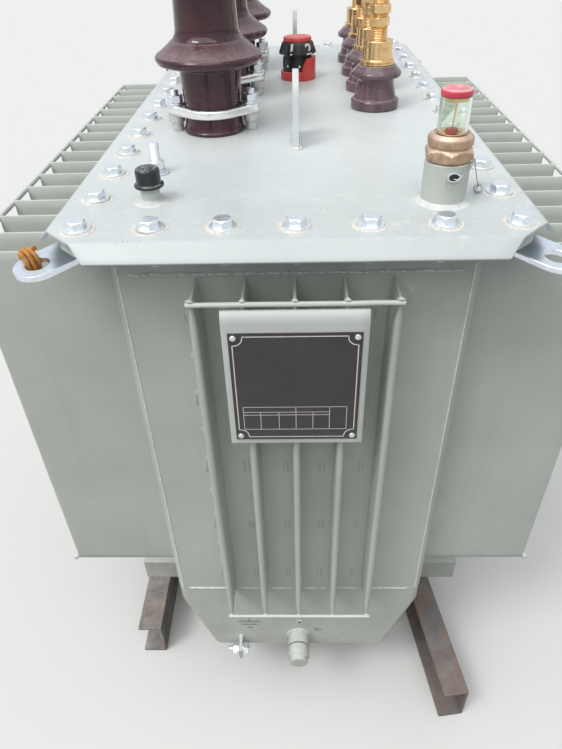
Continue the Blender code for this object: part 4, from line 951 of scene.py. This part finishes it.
# Low voltage bushings: squat porcelain, a ring, a smooth sleeve, and a stud with two nuts.
def lv_bushing(number, y):
    profile = [(0.020, 0.0003), (0.0345, 0.0003), (0.0360, 0.0018), (0.0360, 0.0118), (0.0340, 0.0142),
               (0.0318, 0.0150), (0.0305, 0.0190), (0.0272, 0.0330), (0.0268, 0.0400), (0.0300, 0.0425),
               (0.0355, 0.0440), (0.0370, 0.0460), (0.0370, 0.0495), (0.0350, 0.0520), (0.0300, 0.0565),
               (0.0270, 0.0600), (0.0180, 0.0600)]
    shape = bmesh.new()
    turned(shape, rounded(profile, 0.002, 4), (LV_X, y, DECK), 80)
    add(f"lv_porcelain_{number}", shape, GLAZE_DARK, angle=60, replaces=[f"lv_bushing_{number}"])
    shape = bmesh.new()
    base = DECK + 0.0603
    ring = [(0.012, 0.0), (0.0240, 0.0), (0.0245, 0.0006), (0.0245, 0.0028), (0.0236, 0.0032), (0.0236, 0.0036),
            (0.0243, 0.0040), (0.0243, 0.0058), (0.0236, 0.0064), (0.0215, 0.0066)]
    sleeve = [(0.0212, 0.0072), (0.0212, 0.0300), (0.0206, 0.0312), (0.0128, 0.0316), (0.0120, 0.0316)]
    turned(shape, ring + sleeve, (LV_X, y, base), 64)
    thread(shape, (LV_X, y, 0), 0.0123, base + 0.0305, base + 0.105, 0.0020, steps=40)
    for low, spin in ((0.048, 0.2 + number), (0.064, 0.9 * number)):
        hexagon(shape, (LV_X, y, base + low), 0.0256, 0.0120, spin)
    add(f"lv_stud_{number}", shape, BRASS, angle=25, replaces=[f"lv_terminal_{number}"])


for i, y in enumerate(LV_ROW):
    lv_bushing(i + 1, y)


# Tap changer: red base and guard, black body, and a knob with six numbered places.
TAP_KNOB = (0.041, 0.060)


def tap_changer():
    shape = bmesh.new()
    profile = [(0.020, 0.0003), (0.0296, 0.0003), (0.0300, 0.0010), (0.0300, 0.0132), (0.0292, 0.0140), (0.0262, 0.0142)]
    turned(shape, profile, TAP, 72)
    add("tap_base_ring", shape, RED, replaces=["tap_changer_base"])

    shape = bmesh.new()
    steps = 40
    rings = []
    for i in range(steps + 1):
        degrees = 15 + 95 * i / steps
        rise = min(1.0, max(0.0, (degrees - 15) / 24))
        top = 0.014 + 0.0217 * math.sin(rise * math.pi / 2) ** 0.8
        fall = min(1.0, max(0.0, (110 - degrees) / 5))
        top = 0.014 + (top - 0.014) * math.sin(fall * math.pi / 2) ** 0.5
        a = math.radians(degrees)
        outward = Vector((math.sin(a), -math.cos(a), 0))
        section = [(0.0266, 0.0003), (0.0316, 0.0003), (0.0320, 0.0010), (0.0320, top - 0.0006), (0.0314, top), (0.0266, top)]
        rings.append([TAP + outward * r + Vector((0, 0, z)) for r, z in section])
    skin(shape, rings)
    add("tap_guard", shape, RED)

    shape = bmesh.new()
    turned(shape, rounded([(0.010, 0.014), (0.0260, 0.014), (0.0260, 0.0352), (0.0250, 0.0360), (0.009, 0.0360)], 0.0006), TAP, 72)
    turned(shape, [(0.0080, 0.035), (0.0080, 0.0565), (0.0074, 0.057)], TAP, 32)
    turned(shape, [(0.0120, 0.0355), (0.0245, 0.0355), (0.0245, 0.0405), (0.0120, 0.0405)], TAP, 64, loop=True)
    add("tap_body", shape, BLACK)

    low, high = TAP_KNOB
    rings = []
    steps = 6 * 24
    for z, radius in ((low, 0.0318), (low + 0.0008, 0.0328), (low + 0.004, 0.0321), (high - 0.004, 0.0278),
                      (high - 0.0012, 0.0267), (high, 0.0256)):
        ring = []
        for i in range(steps):
            angle = TAU * i / steps
            local = ((math.degrees(angle) + 20 + 30) % 60) - 30
            edge = min(1.0, max(0.0, (16 - abs(local)) / 3))
            r = radius - 0.0015 * (1 - edge)
            a = angle - math.pi / 2
            ring.append(TAP + Vector((r * math.cos(a), r * math.sin(a), z)))
        rings.append(ring)
    for z in (high, low):
        rings.append([TAP + Vector((0.0092 * math.cos(TAU * i / steps - math.pi / 2),
                                    0.0092 * math.sin(TAU * i / steps - math.pi / 2), z)) for i in range(steps)])
    shape = bmesh.new()
    skin(shape, rings, loop=True)
    add("tap_knob", shape, BLACK, "dial", 30, replaces=["tap_changer_dial"])

    shape = bmesh.new()
    dome = [(0.010, 0.0603), (0.0236, 0.0603), (0.0243, 0.0610), (0.0243, 0.0655), (0.0234, 0.0668)]
    dome += [(0.0234 * math.cos(math.pi / 2 * i / 6), 0.0668 + 0.0012 * math.sin(math.pi / 2 * i / 6)) for i in range(1, 6)]
    turned(shape, dome, TAP, 64)
    add("tap_cap", shape, RED, "dial", replaces=["tap_changer_cap"])

    # Position numbers, bent on to the knob's cone, and two white dots on the body under the knob's grooves, which are
    # painted highlights.
    for digit in range(1, 6):
        curve = bpy.data.curves.new("digit", "FONT")
        curve.body = str(digit)
        curve.size = 0.0262
        curve.align_x = "CENTER"
        curve.extrude = 0.0
        curve.offset = 0.00075
        source = bpy.data.objects.new("digit", curve)
        SCENE.collection.objects.link(source)
        bpy.context.view_layer.update()
        mesh = bpy.data.meshes.new_from_object(source)
        bpy.data.objects.remove(source, do_unlink=True)
        shape = bmesh.new()
        shape.from_mesh(mesh)
        bmesh.ops.triangulate(shape, faces=shape.faces)
        bmesh.ops.subdivide_edges(shape, edges=shape.edges, cuts=2, use_grid_fill=False)
        lowest = min(vert.co.y for vert in shape.verts)
        tall = max(vert.co.y for vert in shape.verts) - lowest
        front = math.radians(-20 + 60 * (digit - 1))
        for vert in shape.verts:
            up = (vert.co.y - lowest) / tall
            z = low + 0.0012 + up * 0.0166
            share = (z - low) / (high - low)
            r = 0.0332 + (0.0264 - 0.0332) * share + 0.00025
            angle = front + vert.co.x / r
            vert.co = TAP + Vector((r * math.sin(angle), -r * math.cos(angle), z))
        made = bmesh.ops.extrude_face_region(shape, geom=shape.faces[:])
        for item in made["geom"]:
            if isinstance(item, bmesh.types.BMVert):
                away = (item.co - TAP)
                away.z = 0
                item.co -= away.normalized() * 0.0005
        add(f"tap_number_{digit}", shape, WHITE, "dial", 30)
    shape = bmesh.new()
    for degrees in (-42, 7.5):
        a = math.radians(degrees)
        spot = TAP + Vector((0.0260 * math.sin(a), -0.0260 * math.cos(a), 0.0233))
        turned(shape, [(0.0019, -0.0004), (0.0019, 0.0001), (0.0013, 0.0003)], spot, 20,
               Matrix.Rotation(a, 4, "Z") @ TO_FRONT)
    add("tap_groove_glints", shape, WHITE)


tap_changer()


# Oil gauge: bronze hexagon and collar, glass with oil and a float, red cap, and the seal on its wire.
def oil_gauge():
    foot = 0.0421
    shape = bmesh.new()
    hexagon(shape, GAUGE + Vector((0, 0, foot)), 0.0445, 0.0135, math.radians(25), steps=96, slope=0.85)
    collar = [(0.019, foot + 0.012), (0.0206, foot + 0.0136), (0.0206, foot + 0.0150), (0.0222, foot + 0.0160), (0.0224, foot + 0.0180),
              (0.0224, foot + 0.0222), (0.0216, foot + 0.0238), (0.0196, foot + 0.0256), (0.0186, foot + 0.0265), (0.0176, foot + 0.0265),
              (0.0168, foot + 0.0256), (0.0160, foot + 0.0252), (0.010, foot + 0.0250)]
    turned(shape, collar, GAUGE, 72)
    add("gauge_fitting", shape, BRONZE, angle=28, replaces=["oil_gauge_body"])

    bottom, top = foot + 0.0268, foot + 0.0268 + 0.033
    shape = bmesh.new()
    turned(shape, [(0.0150, bottom), (0.0150, top), (0.0126, top), (0.0126, bottom)], GAUGE, 64, loop=True)
    add("gauge_tube_glass", shape, GLASS, replaces=["oil_gauge_glass"])
    shape = bmesh.new()
    turned(shape, [(0.0122, bottom - 0.001), (0.0122, top - 0.0006), (0.006, top - 0.0006)], GAUGE, 48)
    add("gauge_oil_fill", shape, OIL)
    shape = bmesh.new()
    sweep(shape, [GAUGE + Vector((-0.0010, -0.0030, bottom + 0.002)), GAUGE + Vector((0.0012, -0.0010, top - 0.001))], 0.0008, 8)
    turned(shape, [(0.0040, top - 0.0045), (0.0100, top - 0.0040), (0.0112, top - 0.0012), (0.0112, top + 0.0002), (0.004, top + 0.0002)], GAUGE, 40)
    turned(shape, [(0.0080, bottom - 0.0008), (0.0135, bottom - 0.0008), (0.0135, bottom + 0.0006), (0.0080, bottom + 0.0006)],
           GAUGE, 40, loop=True)
    add("gauge_inner_brass", shape, BRASS)
    shape = bmesh.new()
    turned(shape, [(0.0015, bottom), (0.0055, bottom), (0.0057, bottom + 0.002), (0.0050, bottom + 0.0045), (0.0015, bottom + 0.005)],
           GAUGE + Vector((-0.001, -0.003, 0)), 36)
    add("gauge_float", shape, RED)

    shape = bmesh.new()
    cap = [(0.0100, top + 0.0003), (0.0148, top + 0.0003), (0.0153, top + 0.0009), (0.0153, top + 0.0048),
           (0.0148, top + 0.0061), (0.0136, top + 0.0068), (0.0124, top + 0.0070)]
    for i in range(5):
        r = 0.0118 - 0.0022 * i
        cap += [(r, top + 0.0064), (r - 0.0007, top + 0.0064), (r - 0.0010, top + 0.0070), (r - 0.0018, top + 0.0070)]
    turned(shape, cap, GAUGE, 64)
    add("gauge_cap", shape, RED_CAP_LIT_TOP, replaces=["oil_gauge_cap"])

    # Seal wires from the hexagon, one through the small lug on the pipe, one down to the lead seal.
    shape = bmesh.new()
    lug = Vector((0.1575, -0.4312, 0.9845))
    oval = Matrix.Diagonal((1.40, 1, 1, 1))
    turned(shape, [(0.0036, -0.0016), (0.0048, -0.0016), (0.0052, 0.0), (0.0048, 0.0016), (0.0036, 0.0016), (0.0033, 0)],
           lug, 28, oval @ TO_FRONT, loop=True)
    add("seal_lug", shape, ZINC)
    shape = bmesh.new()
    # Painted shade: a black disc filling the lug's hole, standing in for the dark inside it.
    turned(shape, [(0.0002, -0.0012), (0.0036, -0.0012), (0.0036, 0.0004), (0.0002, 0.0004)], lug, 28, oval @ TO_FRONT)
    add("seal_lug_hole_shade", shape, BLACK)
    shape = bmesh.new()
    sweep(shape, smooth_path([(0.1780, -0.4170, 0.9980), (0.1755, -0.4250, 0.9950), (0.1690, -0.4320, 0.9850),
                              (0.1600, -0.4350, 0.9770), (0.1530, -0.4340, 0.9750), (0.1500, -0.4320, 0.9790)]), 0.0005, 6)
    sweep(shape, smooth_path([(0.1770, -0.4180, 0.9960), (0.1700, -0.4300, 0.9900), (0.1620, -0.4345, 0.9840), (0.1575, -0.4330, 0.9830)]), 0.0005, 6)
    sweep(shape, smooth_path([(0.1800, -0.4130, 0.9960), (0.1840, -0.4090, 0.9850), (0.1890, -0.4020, 0.9720),
                              (0.1935, -0.3950, 0.9630), (0.1950, -0.3915, 0.9600)]), 0.0005, 6)
    add("seal_wires", shape, WIRE)
    shape = bmesh.new()
    turned(shape, rounded([(0.0006, 0.0), (0.0044, 0.0), (0.0050, 0.0012), (0.0050, 0.0034), (0.0042, 0.0044), (0.0030, 0.0044),
                           (0.0024, 0.0036), (0.0006, 0.0036)], 0.0008),
           (0.1950, -0.3895, DECK + 0.0046), 32, Matrix.Rotation(math.radians(58), 4, "X"))
    add("lead_seal", shape, LEAD)


def smooth_path(points, cuts=8):
    """Points along a smooth curve through the given ones."""
    path = [Vector(p) for p in points]
    path = [path[0] * 2 - path[1]] + path + [path[-1] * 2 - path[-2]]
    made = []
    for a, b, c, d in zip(path, path[1:], path[2:], path[3:]):
        for i in range(cuts):
            t = i / cuts
            made.append(0.5 * ((2 * b) + (c - a) * t + (2 * a - 5 * b + 4 * c - d) * t * t
                               + (3 * b - a - 3 * c + d) * t ** 3))
    made.append(path[-2])
    return made


oil_gauge()


# Filler cap, and the zinc stud with its nut behind it.
def filler():
    base = 0.0164
    profile = [(0.006, base), (0.0150, base), (0.0158, base + 0.0006), (0.0158, base + 0.0024), (0.0153, base + 0.0031),
               (0.0136, base + 0.0034), (0.0129, base + 0.0042), (0.0131, base + 0.0150), (0.0130, base + 0.0168),
               (0.0120, base + 0.0188), (0.0104, base + 0.0196), (0.0086, base + 0.0196), (0.0082, base + 0.0189),
               (0.0056, base + 0.0188), (0.0052, base + 0.0194), (0.0036, base + 0.0194), (0.0032, base + 0.0188), (0.001, base + 0.0188)]
    shape = bmesh.new()
    turned(shape, rounded(profile, 0.0006, 2), FILLER, 56)
    add("filler_lid", shape, BLACK_GLOSS, replaces=["filler_cap"])
    shape = bmesh.new()
    spot = Vector((-0.162, -0.310, DECK))
    turned(shape, rounded([(0.004, 0), (0.0140, 0), (0.0140, 0.0025), (0.004, 0.0025)], 0.0006, 3), spot + Vector((0, 0, 0.0003)), 40)
    turned(shape, rounded([(0.004, 0), (0.0110, 0), (0.0110, 0.0022), (0.004, 0.0022)], 0.0005, 3), spot + Vector((0, 0, 0.0030)), 40)
    hexagon(shape, spot + Vector((0, 0, 0.0054)), 0.0180, 0.0098, 0.5)
    thread(shape, spot, 0.0060, 0.004, 0.0350, 0.00175)
    add("cover_stud", shape, BOLT_ZINC, angle=25)


filler()


# Welds of the tank: under the flange, at the tub's seam, and at the fins' bars; painted highlights on the flange weld
# and at the walls' corners; and the fins' pressed marks.
def tank_welds():
    shape, painted_glints = bmesh.new(), bmesh.new()
    for side in (-1, 1):
        y = side * WALL_Y
        bead(shape, [(x / 1000, y, 0.8925 + 0.0016 * field.noise(Vector((x / 16, side, 0)))) for x in range(-178, 181, 4)],
             0.0026, 1 + side, ripple=0.0060)
        # Painted highlights: short pale crests along the weld bead under the flange.
        for i in range(46):
            x = -0.177 + 0.0078 * i + 0.003 * field.noise(Vector((i * 1.7, side, 5)))
            z = 0.8925 + 0.0016 * field.noise(Vector((x * 1000 / 16, side, 0)))
            if field.noise(Vector((i * 0.9, side, 9))) > -0.15:
                bead(painted_glints, [(x, y + side * 0.0024, z + 0.0010), (x + 0.0050, y + side * 0.0024, z + 0.0004)], 0.0013, i)
        fins = END_FINS
        gaps = [(-0.180, fins[0] - 0.006)] + [(a + 0.006, b - 0.006) for a, b in zip(fins, fins[1:])] + [(fins[-1] + 0.006, 0.180)]
        for a, b in gaps:
            bead(shape, [(a, y, 0.3120), (b, y, 0.3120)], 0.0022, a)
        for edge in (-1, 1):
            # Painted highlights: a thin bright line of pale dots up each chamfered corner of the wall.
            spots = [(edge * (WALL_X - 0.0086), y + side * 0.0001, 0.314 + 0.0125 * k) for k in range(50)]
            bead(painted_glints, spots, 0.0010, 7 + side + edge, ripple=0.011)
    for side in (-1, 1):
        for y0, y1 in ((-0.426, 0.426),):
            bead(shape, [(side * WALL_X, y0, 0.3118), (side * WALL_X, y1, 0.3118)], 0.0018, 5 + side)
    add("tank_weld_beads", shape, WELD)
    add("weld_glints", painted_glints, GLINT)

    shape = bmesh.new()
    for side in (-1, 1):
        for x in (-0.1212, -0.068, -0.0155, 0.0337, 0.0863):
            for z in (0.355, 0.477, 0.599, 0.721, 0.843):
                for dx in (-0.0025, 0.0025):
                    points = [(x + dx, side * (WALL_Y - 0.0004 + depth), z + dz)
                              for dz, depth in ((-0.0105, -0.0012), (-0.0088, 0.0002), (0, 0.0005), (0.0088, 0.0002), (0.0105, -0.0012))]
                    sweep(shape, points, 0.0013, 8)
    add("fin_marks", shape, TANK)


tank_welds()


# Rating plate: a bent sheet on the fins' bars, and a black plate with a silver border, rivets and an empty table.
BRACKET_FRONT = -0.5069
BRACKET_TOP, BRACKET_LOW = 0.8775, 0.6955


def rating_plate():
    half, sheet, bend, drop = 0.0765, 0.002, 0.0075, 0.0130
    outer = [(-0.4989, BRACKET_TOP)]
    for i in range(9):
        a = math.pi / 2 * i / 8
        outer.append((BRACKET_FRONT + bend - bend * math.sin(a), BRACKET_TOP - drop + drop * math.cos(a)))
    for i in range(9):
        a = math.pi / 2 * i / 8
        outer.append((BRACKET_FRONT + 0.004 - 0.004 * math.cos(a), BRACKET_LOW + 0.004 - 0.004 * math.sin(a)))
    outer.append((-0.4989, BRACKET_LOW))
    shape = bmesh.new()
    rows = []
    cuts = 16
    for y, z in outer:
        rows.append([shape.verts.new((-half + 2 * half * k / cuts, y + 0.0002 * math.sin(3 * k / cuts), z)) for k in range(cuts + 1)])
    for lower, upper in zip(rows, rows[1:]):
        for k in range(cuts):
            shape.faces.new((lower[k], upper[k], upper[k + 1], lower[k + 1]))
    piece = add("plate_holder", shape, LIT_ENAMEL, angle=60, replaces=["plate_bracket"])
    thick = piece.modifiers.new("thickness", "SOLIDIFY")
    thick.thickness = sheet * 0.95
    thick.offset = -1
    edge = piece.modifiers.new("edge", "BEVEL")
    edge.width = 0.0005
    edge.limit_method = "ANGLE"
    edge.angle_limit = math.radians(60)

    top, low, wide = DECK - 0.098, DECK - 0.247, 0.070
    face = BRACKET_FRONT - 0.0013
    shape = bmesh.new()
    block(shape, (-wide, face, low), (wide, face + 0.0010, top), 0.0003)
    add("plate_sheet", shape, PLATE, replaces=["rating_plate"])

    shape = bmesh.new()
    inset, notch = 0.0042, 0.0095
    rivets = [(-wide + 0.0055, top - 0.0058), (wide - 0.0055, top - 0.0058), (wide - 0.0055, low + 0.0058), (-wide + 0.0055, low + 0.0058)]
    path = []
    for index, (sx, sz) in enumerate(((-1, 1), (1, 1), (1, -1), (-1, -1))):
        cx, cz = rivets[index]
        x = sx * (wide - inset)
        z = top - inset if sz > 0 else low + inset
        arc = []
        for i in range(9):
            a = math.pi / 2 * i / 8
            if index % 2 == 0:
                arc.append((cx - sx * notch * math.sin(a), cz - sz * notch * math.cos(a)))
            else:
                arc.append((cx - sx * notch * math.cos(a), cz - sz * notch * math.sin(a)))
        if index % 2 == 0:
            arc = [(x, cz - sz * notch)] + arc + [(cx - sx * notch, z)]
        else:
            arc = [(cx - sx * notch, z)] + arc + [(x, cz - sz * notch)]
        path += arc
    lines = bmesh.new()
    ribbon(lines, path, 0.0011, face, loop=True)
    columns = [240.5, 258, 277, 294.5, 312, 329, 346.5]
    span = lambda px: -wide + 0.0105 + (px - 240.5) / (346.5 - 240.5) * 0.1165
    rows_z = [low + 0.0495, low + 0.0420, low + 0.0378, low + 0.0160]
    for z, (a, b) in zip(rows_z, ((0, 6), (0, 5), (0, 5), (0, 6))):
        ribbon(lines, [(span(columns[a]), z), (span(columns[b]), z)], 0.0006, face)
    for k, px in enumerate(columns):
        high = rows_z[0] if k in (0, 3, 5, 6) else rows_z[1]
        ribbon(lines, [(span(px), high), (span(px), rows_z[3])], 0.0006, face)
    add("plate_lines", lines, SILVER)
    for cx, cz in rivets:
        turned(shape, [(0.0036, -0.0002), (0.0036, 0.0004), (0.0031, 0.0012), (0.0020, 0.0018), (0.0008, 0.0020)],
               (cx, face, cz), 28, TO_FRONT)
    add("plate_rivets", shape, SILVER)


def ribbon(shape, path, width, face, loop=False):
    """Thin raised line on the plate's face, from points (x, z)."""
    points = [Vector((x, z)) for x, z in path]
    count = len(points)
    left, right = [], []
    for i, point in enumerate(points):
        ahead = points[(i + 1) % count] if loop or i + 1 < count else point
        behind = points[i - 1] if loop or i > 0 else point
        along = (ahead - behind).normalized()
        across = Vector((-along.y, along.x)) * width / 2
        left.append(point + across)
        right.append(point - across)
    rings = []
    for a, b in zip(left, right):
        rings.append([(a.x, face + 0.0001, a.y), (a.x, face - 0.0002, a.y), (b.x, face - 0.0002, b.y), (b.x, face + 0.0001, b.y)])
    skin(shape, rings, loop=loop)


rating_plate()


# Tub fittings: earthing symbol and bolt, drain cap, sampling screw, and the chips in the paint beside it.
def spot(shape, centre, wide, high, seed):
    """Thin flake on a front face with an uneven edge."""
    rings = []
    for scale, depth in ((1.0, 0.0002), (0.9, -0.0002), (0.1, -0.0003)):
        ring = []
        for i in range(20):
            a = TAU * i / 20
            r = scale * (1 + 0.35 * field.noise(Vector((math.cos(a) * 1.6, math.sin(a) * 1.6, seed))))
            ring.append((centre[0] + wide * r * math.cos(a), centre[1] + depth, centre[2] + high * r * math.sin(a)))
        rings.append(ring)
    skin(shape, rings)


def paint_marks():
    """Chips in the paint beside the drain and on the outer fin, and a chalky smudge beside the plate."""
    shape = bmesh.new()
    for x, z, wide, high in ((0.0300, 0.1846, 0.0042, 0.0036), (0.0372, 0.1820, 0.0034, 0.0022), (0.0322, 0.1792, 0.0020, 0.0012)):
        spot(shape, (x, -WALL_Y, z), wide, high, x * 900)
    add("paint_chips", shape, BARE)
    shape = bmesh.new()
    spot(shape, (0.1246, -WALL_Y, 0.8731), 0.0050, 0.0034, 3)
    for x0, z0, x1, z1 in ((0.1246, 0.870, 0.1290, 0.8580), (0.1262, 0.869, 0.1324, 0.8505), (0.1230, 0.868, 0.1248, 0.8605)):
        points = [(x0 + (x1 - x0) * t + 0.0008 * math.sin(7 * t), -WALL_Y, z0 + (z1 - z0) * t) for t in (0, 0.25, 0.5, 0.75, 1)]
        sweep(shape, points, 0.0006, 6)
    for i in range(9):
        z = 0.845 - 0.058 * i - 0.006 * math.sin(3 * i)
        spot(shape, (-0.1215, -WALL_Y, z), 0.0018, 0.0042, i * 3.3)
    add("chalk_marks", shape, CHALK)


def tub_fittings():
    shape = bmesh.new()
    y = -WALL_Y
    # Earthing symbol: raised bars in a dark colour, painted shade for the embossed lines.
    for low, high in (((-0.0890, y - 0.0012, 0.2104), (-0.0870, y + 0.001, 0.2185)),
                      ((-0.1070, y - 0.0012, 0.2095), (-0.0685, y + 0.001, 0.2113)),
                      ((-0.1007, y - 0.0012, 0.1997), (-0.0742, y + 0.001, 0.2015)),
                      ((-0.0920, y - 0.0012, 0.1898), (-0.0820, y + 0.001, 0.1916))):
        block(shape, low, high, 0.0003)
    add("earth_symbol", shape, EMBOSS_SHADE)
    shape = bmesh.new()
    turned(shape, [(0.0016, 0.0004), (0.0058, -0.0004), (0.0060, 0.0006), (0.0050, 0.0016), (0.0034, 0.0018), (0.0022, 0.0008)],
           (0.0007, y, 0.209), 32, TO_FRONT, loop=True)
    add("sampling_screw", shape, LIT_ENAMEL)
    paint_marks()

    shape = bmesh.new()
    axis = Vector((-0.104, -0.4680, 0.1515))
    hexagon(shape, axis + Vector((0.0052, 0, 0)), 0.0180, 0.0080, 0.4, turn=TO_RIGHT)
    turned(shape, rounded([(0.004, 0), (0.0115, 0), (0.0115, 0.0022), (0.004, 0.0022)], 0.0005, 2), axis + Vector((0.0028, 0, 0)), 32, TO_RIGHT)
    turned(shape, rounded([(0.004, 0), (0.0115, 0), (0.0115, 0.0022), (0.004, 0.0022)], 0.0005, 2), axis + Vector((-0.0052, 0, 0)), 32, TO_RIGHT)
    hexagon(shape, axis + Vector((-0.0136, 0, 0)), 0.0180, 0.0080, 0.1, turn=TO_RIGHT)
    thread(shape, axis, 0.0050, -0.0225, 0.0160, 0.0015, TO_RIGHT)
    add("earth_bolt", shape, BOLT_ZINC, angle=25)

    shape = bmesh.new()
    start = 0.0223
    profile = [(0.010, start + 0.0014), (0.0178, start + 0.0014), (0.0184, start + 0.0022), (0.0184, start + 0.0180), (0.0176, start + 0.0192),
               (0.0156, start + 0.0198), (0.0154, start + 0.0262), (0.0144, start + 0.0286), (0.0118, start + 0.0296), (0.004, start + 0.0298)]
    turned(shape, rounded(profile, 0.0008, 2), (-0.001, -WALL_Y, DECK - 0.787), 56, TO_FRONT)
    add("drain_lid", shape, TANK, replaces=["drain_cap"])
    shape = bmesh.new()
    turned(shape, [(0.006, start), (0.0166, start), (0.0166, start + 0.0016), (0.006, start + 0.0016)], (-0.001, -WALL_Y, DECK - 0.787), 40, TO_FRONT)
    turned(shape, [(0.0004, 0.0002), (0.0022, 0.0002), (0.0022, 0.0016), (0.0004, 0.0016)], (0.0007, y, 0.209), 20, TO_FRONT)
    add("drain_joint", shape, RUBBER)
    shape = bmesh.new()
    turn = [(-0.001 + 0.0196 * math.cos(TAU * i / 48), -WALL_Y - 0.0004, DECK - 0.787 + 0.0196 * math.sin(TAU * i / 48)) for i in range(48)]
    bead(shape, turn, 0.0024, 21, loop=True)
    for z in (DECK - 0.788, DECK - 0.814):
        bead(shape, [(-0.1080, -WALL_Y - 0.0004, z), (-0.1000, -WALL_Y - 0.0004, z)], 0.0020, z)
    for dx in (-0.0034, 0.0034):
        bead(shape, [(-0.104 + dx, -WALL_Y - 0.0004, DECK - 0.789), (-0.104 + dx, -WALL_Y - 0.0004, DECK - 0.813)], 0.0022, dx * 999)
    add("tub_weld_beads", shape, WELD)


tub_fittings()


# Rope left on the two left eyes: short lengths wound round the rim of each hole.
def rope_tie(name, centre, out, turns, tail, seed):
    """Wind rope round an eye's rim: centre is the middle of the turns, out points from the hole to the rim."""
    across = Vector((-out.y, out.x, 0))
    points = []
    count = int(turns * 24)
    for i in range(count + 1):
        a = TAU * i / 24
        slide = (i / count - 0.5) * 0.0054 * turns
        loop = 0.0112 + 0.0007 * math.sin(0.37 * a + seed)
        lift = Vector((0, 0, 1)) * loop * math.cos(a)
        aside = out * loop * math.sin(a)
        points.append(centre + lift + aside + across * slide)
    for step in tail:
        points.append(centre + Vector(step))
    path = smooth_path(points, 2) if tail else points
    curve = bpy.data.curves.new(name, "CURVE")
    curve.dimensions = "3D"
    spline = curve.splines.new("POLY")
    spline.points.add(len(path) - 1)
    for item, point in zip(spline.points, path):
        item.co = (*point, 1)
    curve.bevel_depth = 0.0025
    curve.bevel_resolution = 3
    curve.use_fill_caps = True
    piece = bpy.data.objects.new(name, curve)
    SCENE.collection.objects.link(piece)
    curve.materials.append(ROPE.made)
    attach(piece, "tank")


ACROSS = Vector((-1, 1, 0)).normalized()
rope_tie("eye_rope_front", Vector((-0.258, -0.477, 0.9180)) + ACROSS * 0.01875, ACROSS, 3, (), 4)
rope_tie("eye_rope_back", Vector((-0.258, 0.477, 0.9180)) + Vector((-1, -1, 0)).normalized() * 0.01875, Vector((-1, -1, 0)).normalized(), 3, (), 9)


# Studio: pale floor, an even sky, and one soft lamp high up.
def seen_rays(tree):
    """One for rays that show the background: from the camera, off gloss or through glass."""
    ray = tree.nodes.new("ShaderNodeLightPath")
    found = ray.outputs["Is Camera Ray"]
    for kind in ("Is Glossy Ray", "Is Transmission Ray"):
        either = tree.nodes.new("ShaderNodeMath")
        either.operation = "MAXIMUM"
        tree.links.new(found, either.inputs[0])
        tree.links.new(ray.outputs[kind], either.inputs[1])
        found = either.outputs[0]
    return found


def studio():
    shape = bmesh.new()
    corners = [(-30, -30), (30, -30), (30, 30), (-30, 30)]
    shape.faces.new([shape.verts.new((x, y, -0.0005)) for x, y in corners])
    mesh = bpy.data.meshes.new("floor")
    shape.to_mesh(mesh)
    shape.free()
    floor = bpy.data.objects.new("floor", mesh)
    SCENE.collection.objects.link(floor)
    made = bpy.data.materials.new("floor")
    made.use_nodes = True
    nodes, links = made.node_tree.nodes, made.node_tree.links
    shader = nodes["Principled BSDF"]
    shader.inputs["Roughness"].default_value = 0.9
    shader.inputs["Specular IOR Level"].default_value = 0.1
    mix = nodes.new("ShaderNodeMix")
    mix.data_type = "RGBA"
    mix.inputs[6].default_value = (0.13, 0.125, 0.12, 1)
    mix.inputs[7].default_value = (0.74, 0.74, 0.73, 1)
    links.new(seen_rays(made.node_tree), mix.inputs["Factor"])
    links.new(mix.outputs[2], shader.inputs["Base Color"])
    mesh.materials.append(made)

    world = bpy.data.worlds.new("studio")
    SCENE.world = world
    world.use_nodes = True
    tree = world.node_tree
    back = tree.nodes["Background"]
    even = tree.nodes.new("ShaderNodeMapRange")
    even.inputs["To Min"].default_value = 0.48
    even.inputs["To Max"].default_value = 1.0
    tree.links.new(seen_rays(tree), even.inputs["Value"])
    tree.links.new(even.outputs[0], back.inputs["Strength"])
    where = tree.nodes.new("ShaderNodeTexCoord")
    split = tree.nodes.new("ShaderNodeSeparateXYZ")
    tree.links.new(where.outputs["Generated"], split.inputs[0])
    ramp = tree.nodes.new("ShaderNodeValToRGB")
    ramp.color_ramp.elements[0].position = 0.0
    ramp.color_ramp.elements[0].color = (0.66, 0.66, 0.66, 1)
    ramp.color_ramp.elements[1].position = 0.85
    ramp.color_ramp.elements[1].color = (0.93, 0.97, 1.0, 1)
    for place, colour in ((0.10, (0.53, 0.54, 0.56, 1)), (0.20, (0.84, 0.87, 0.90, 1)), (0.50, (0.84, 0.88, 0.93, 1))):
        ramp.color_ramp.elements.new(place).color = colour
    tree.links.new(split.outputs["Z"], ramp.inputs["Fac"])
    tree.links.new(ramp.outputs["Color"], back.inputs["Color"])

    for name, energy, angle, source in (("soft_sun", 1.85, 72, (-0.22, -0.42, 0.88)), ("hazy_sun", 0.85, 18, (-0.44, -0.34, 0.80))):
        lamp = bpy.data.lights.new(name, "SUN")
        lamp.energy = energy
        lamp.angle = math.radians(angle)
        lamp.color = (1.0, 0.99, 0.97)
        made = bpy.data.objects.new(name, lamp)
        made.rotation_euler = Vector(source).to_track_quat("Z", "Y").to_euler()
        SCENE.collection.objects.link(made)


studio()
SCENE.view_settings.view_transform = "Standard"
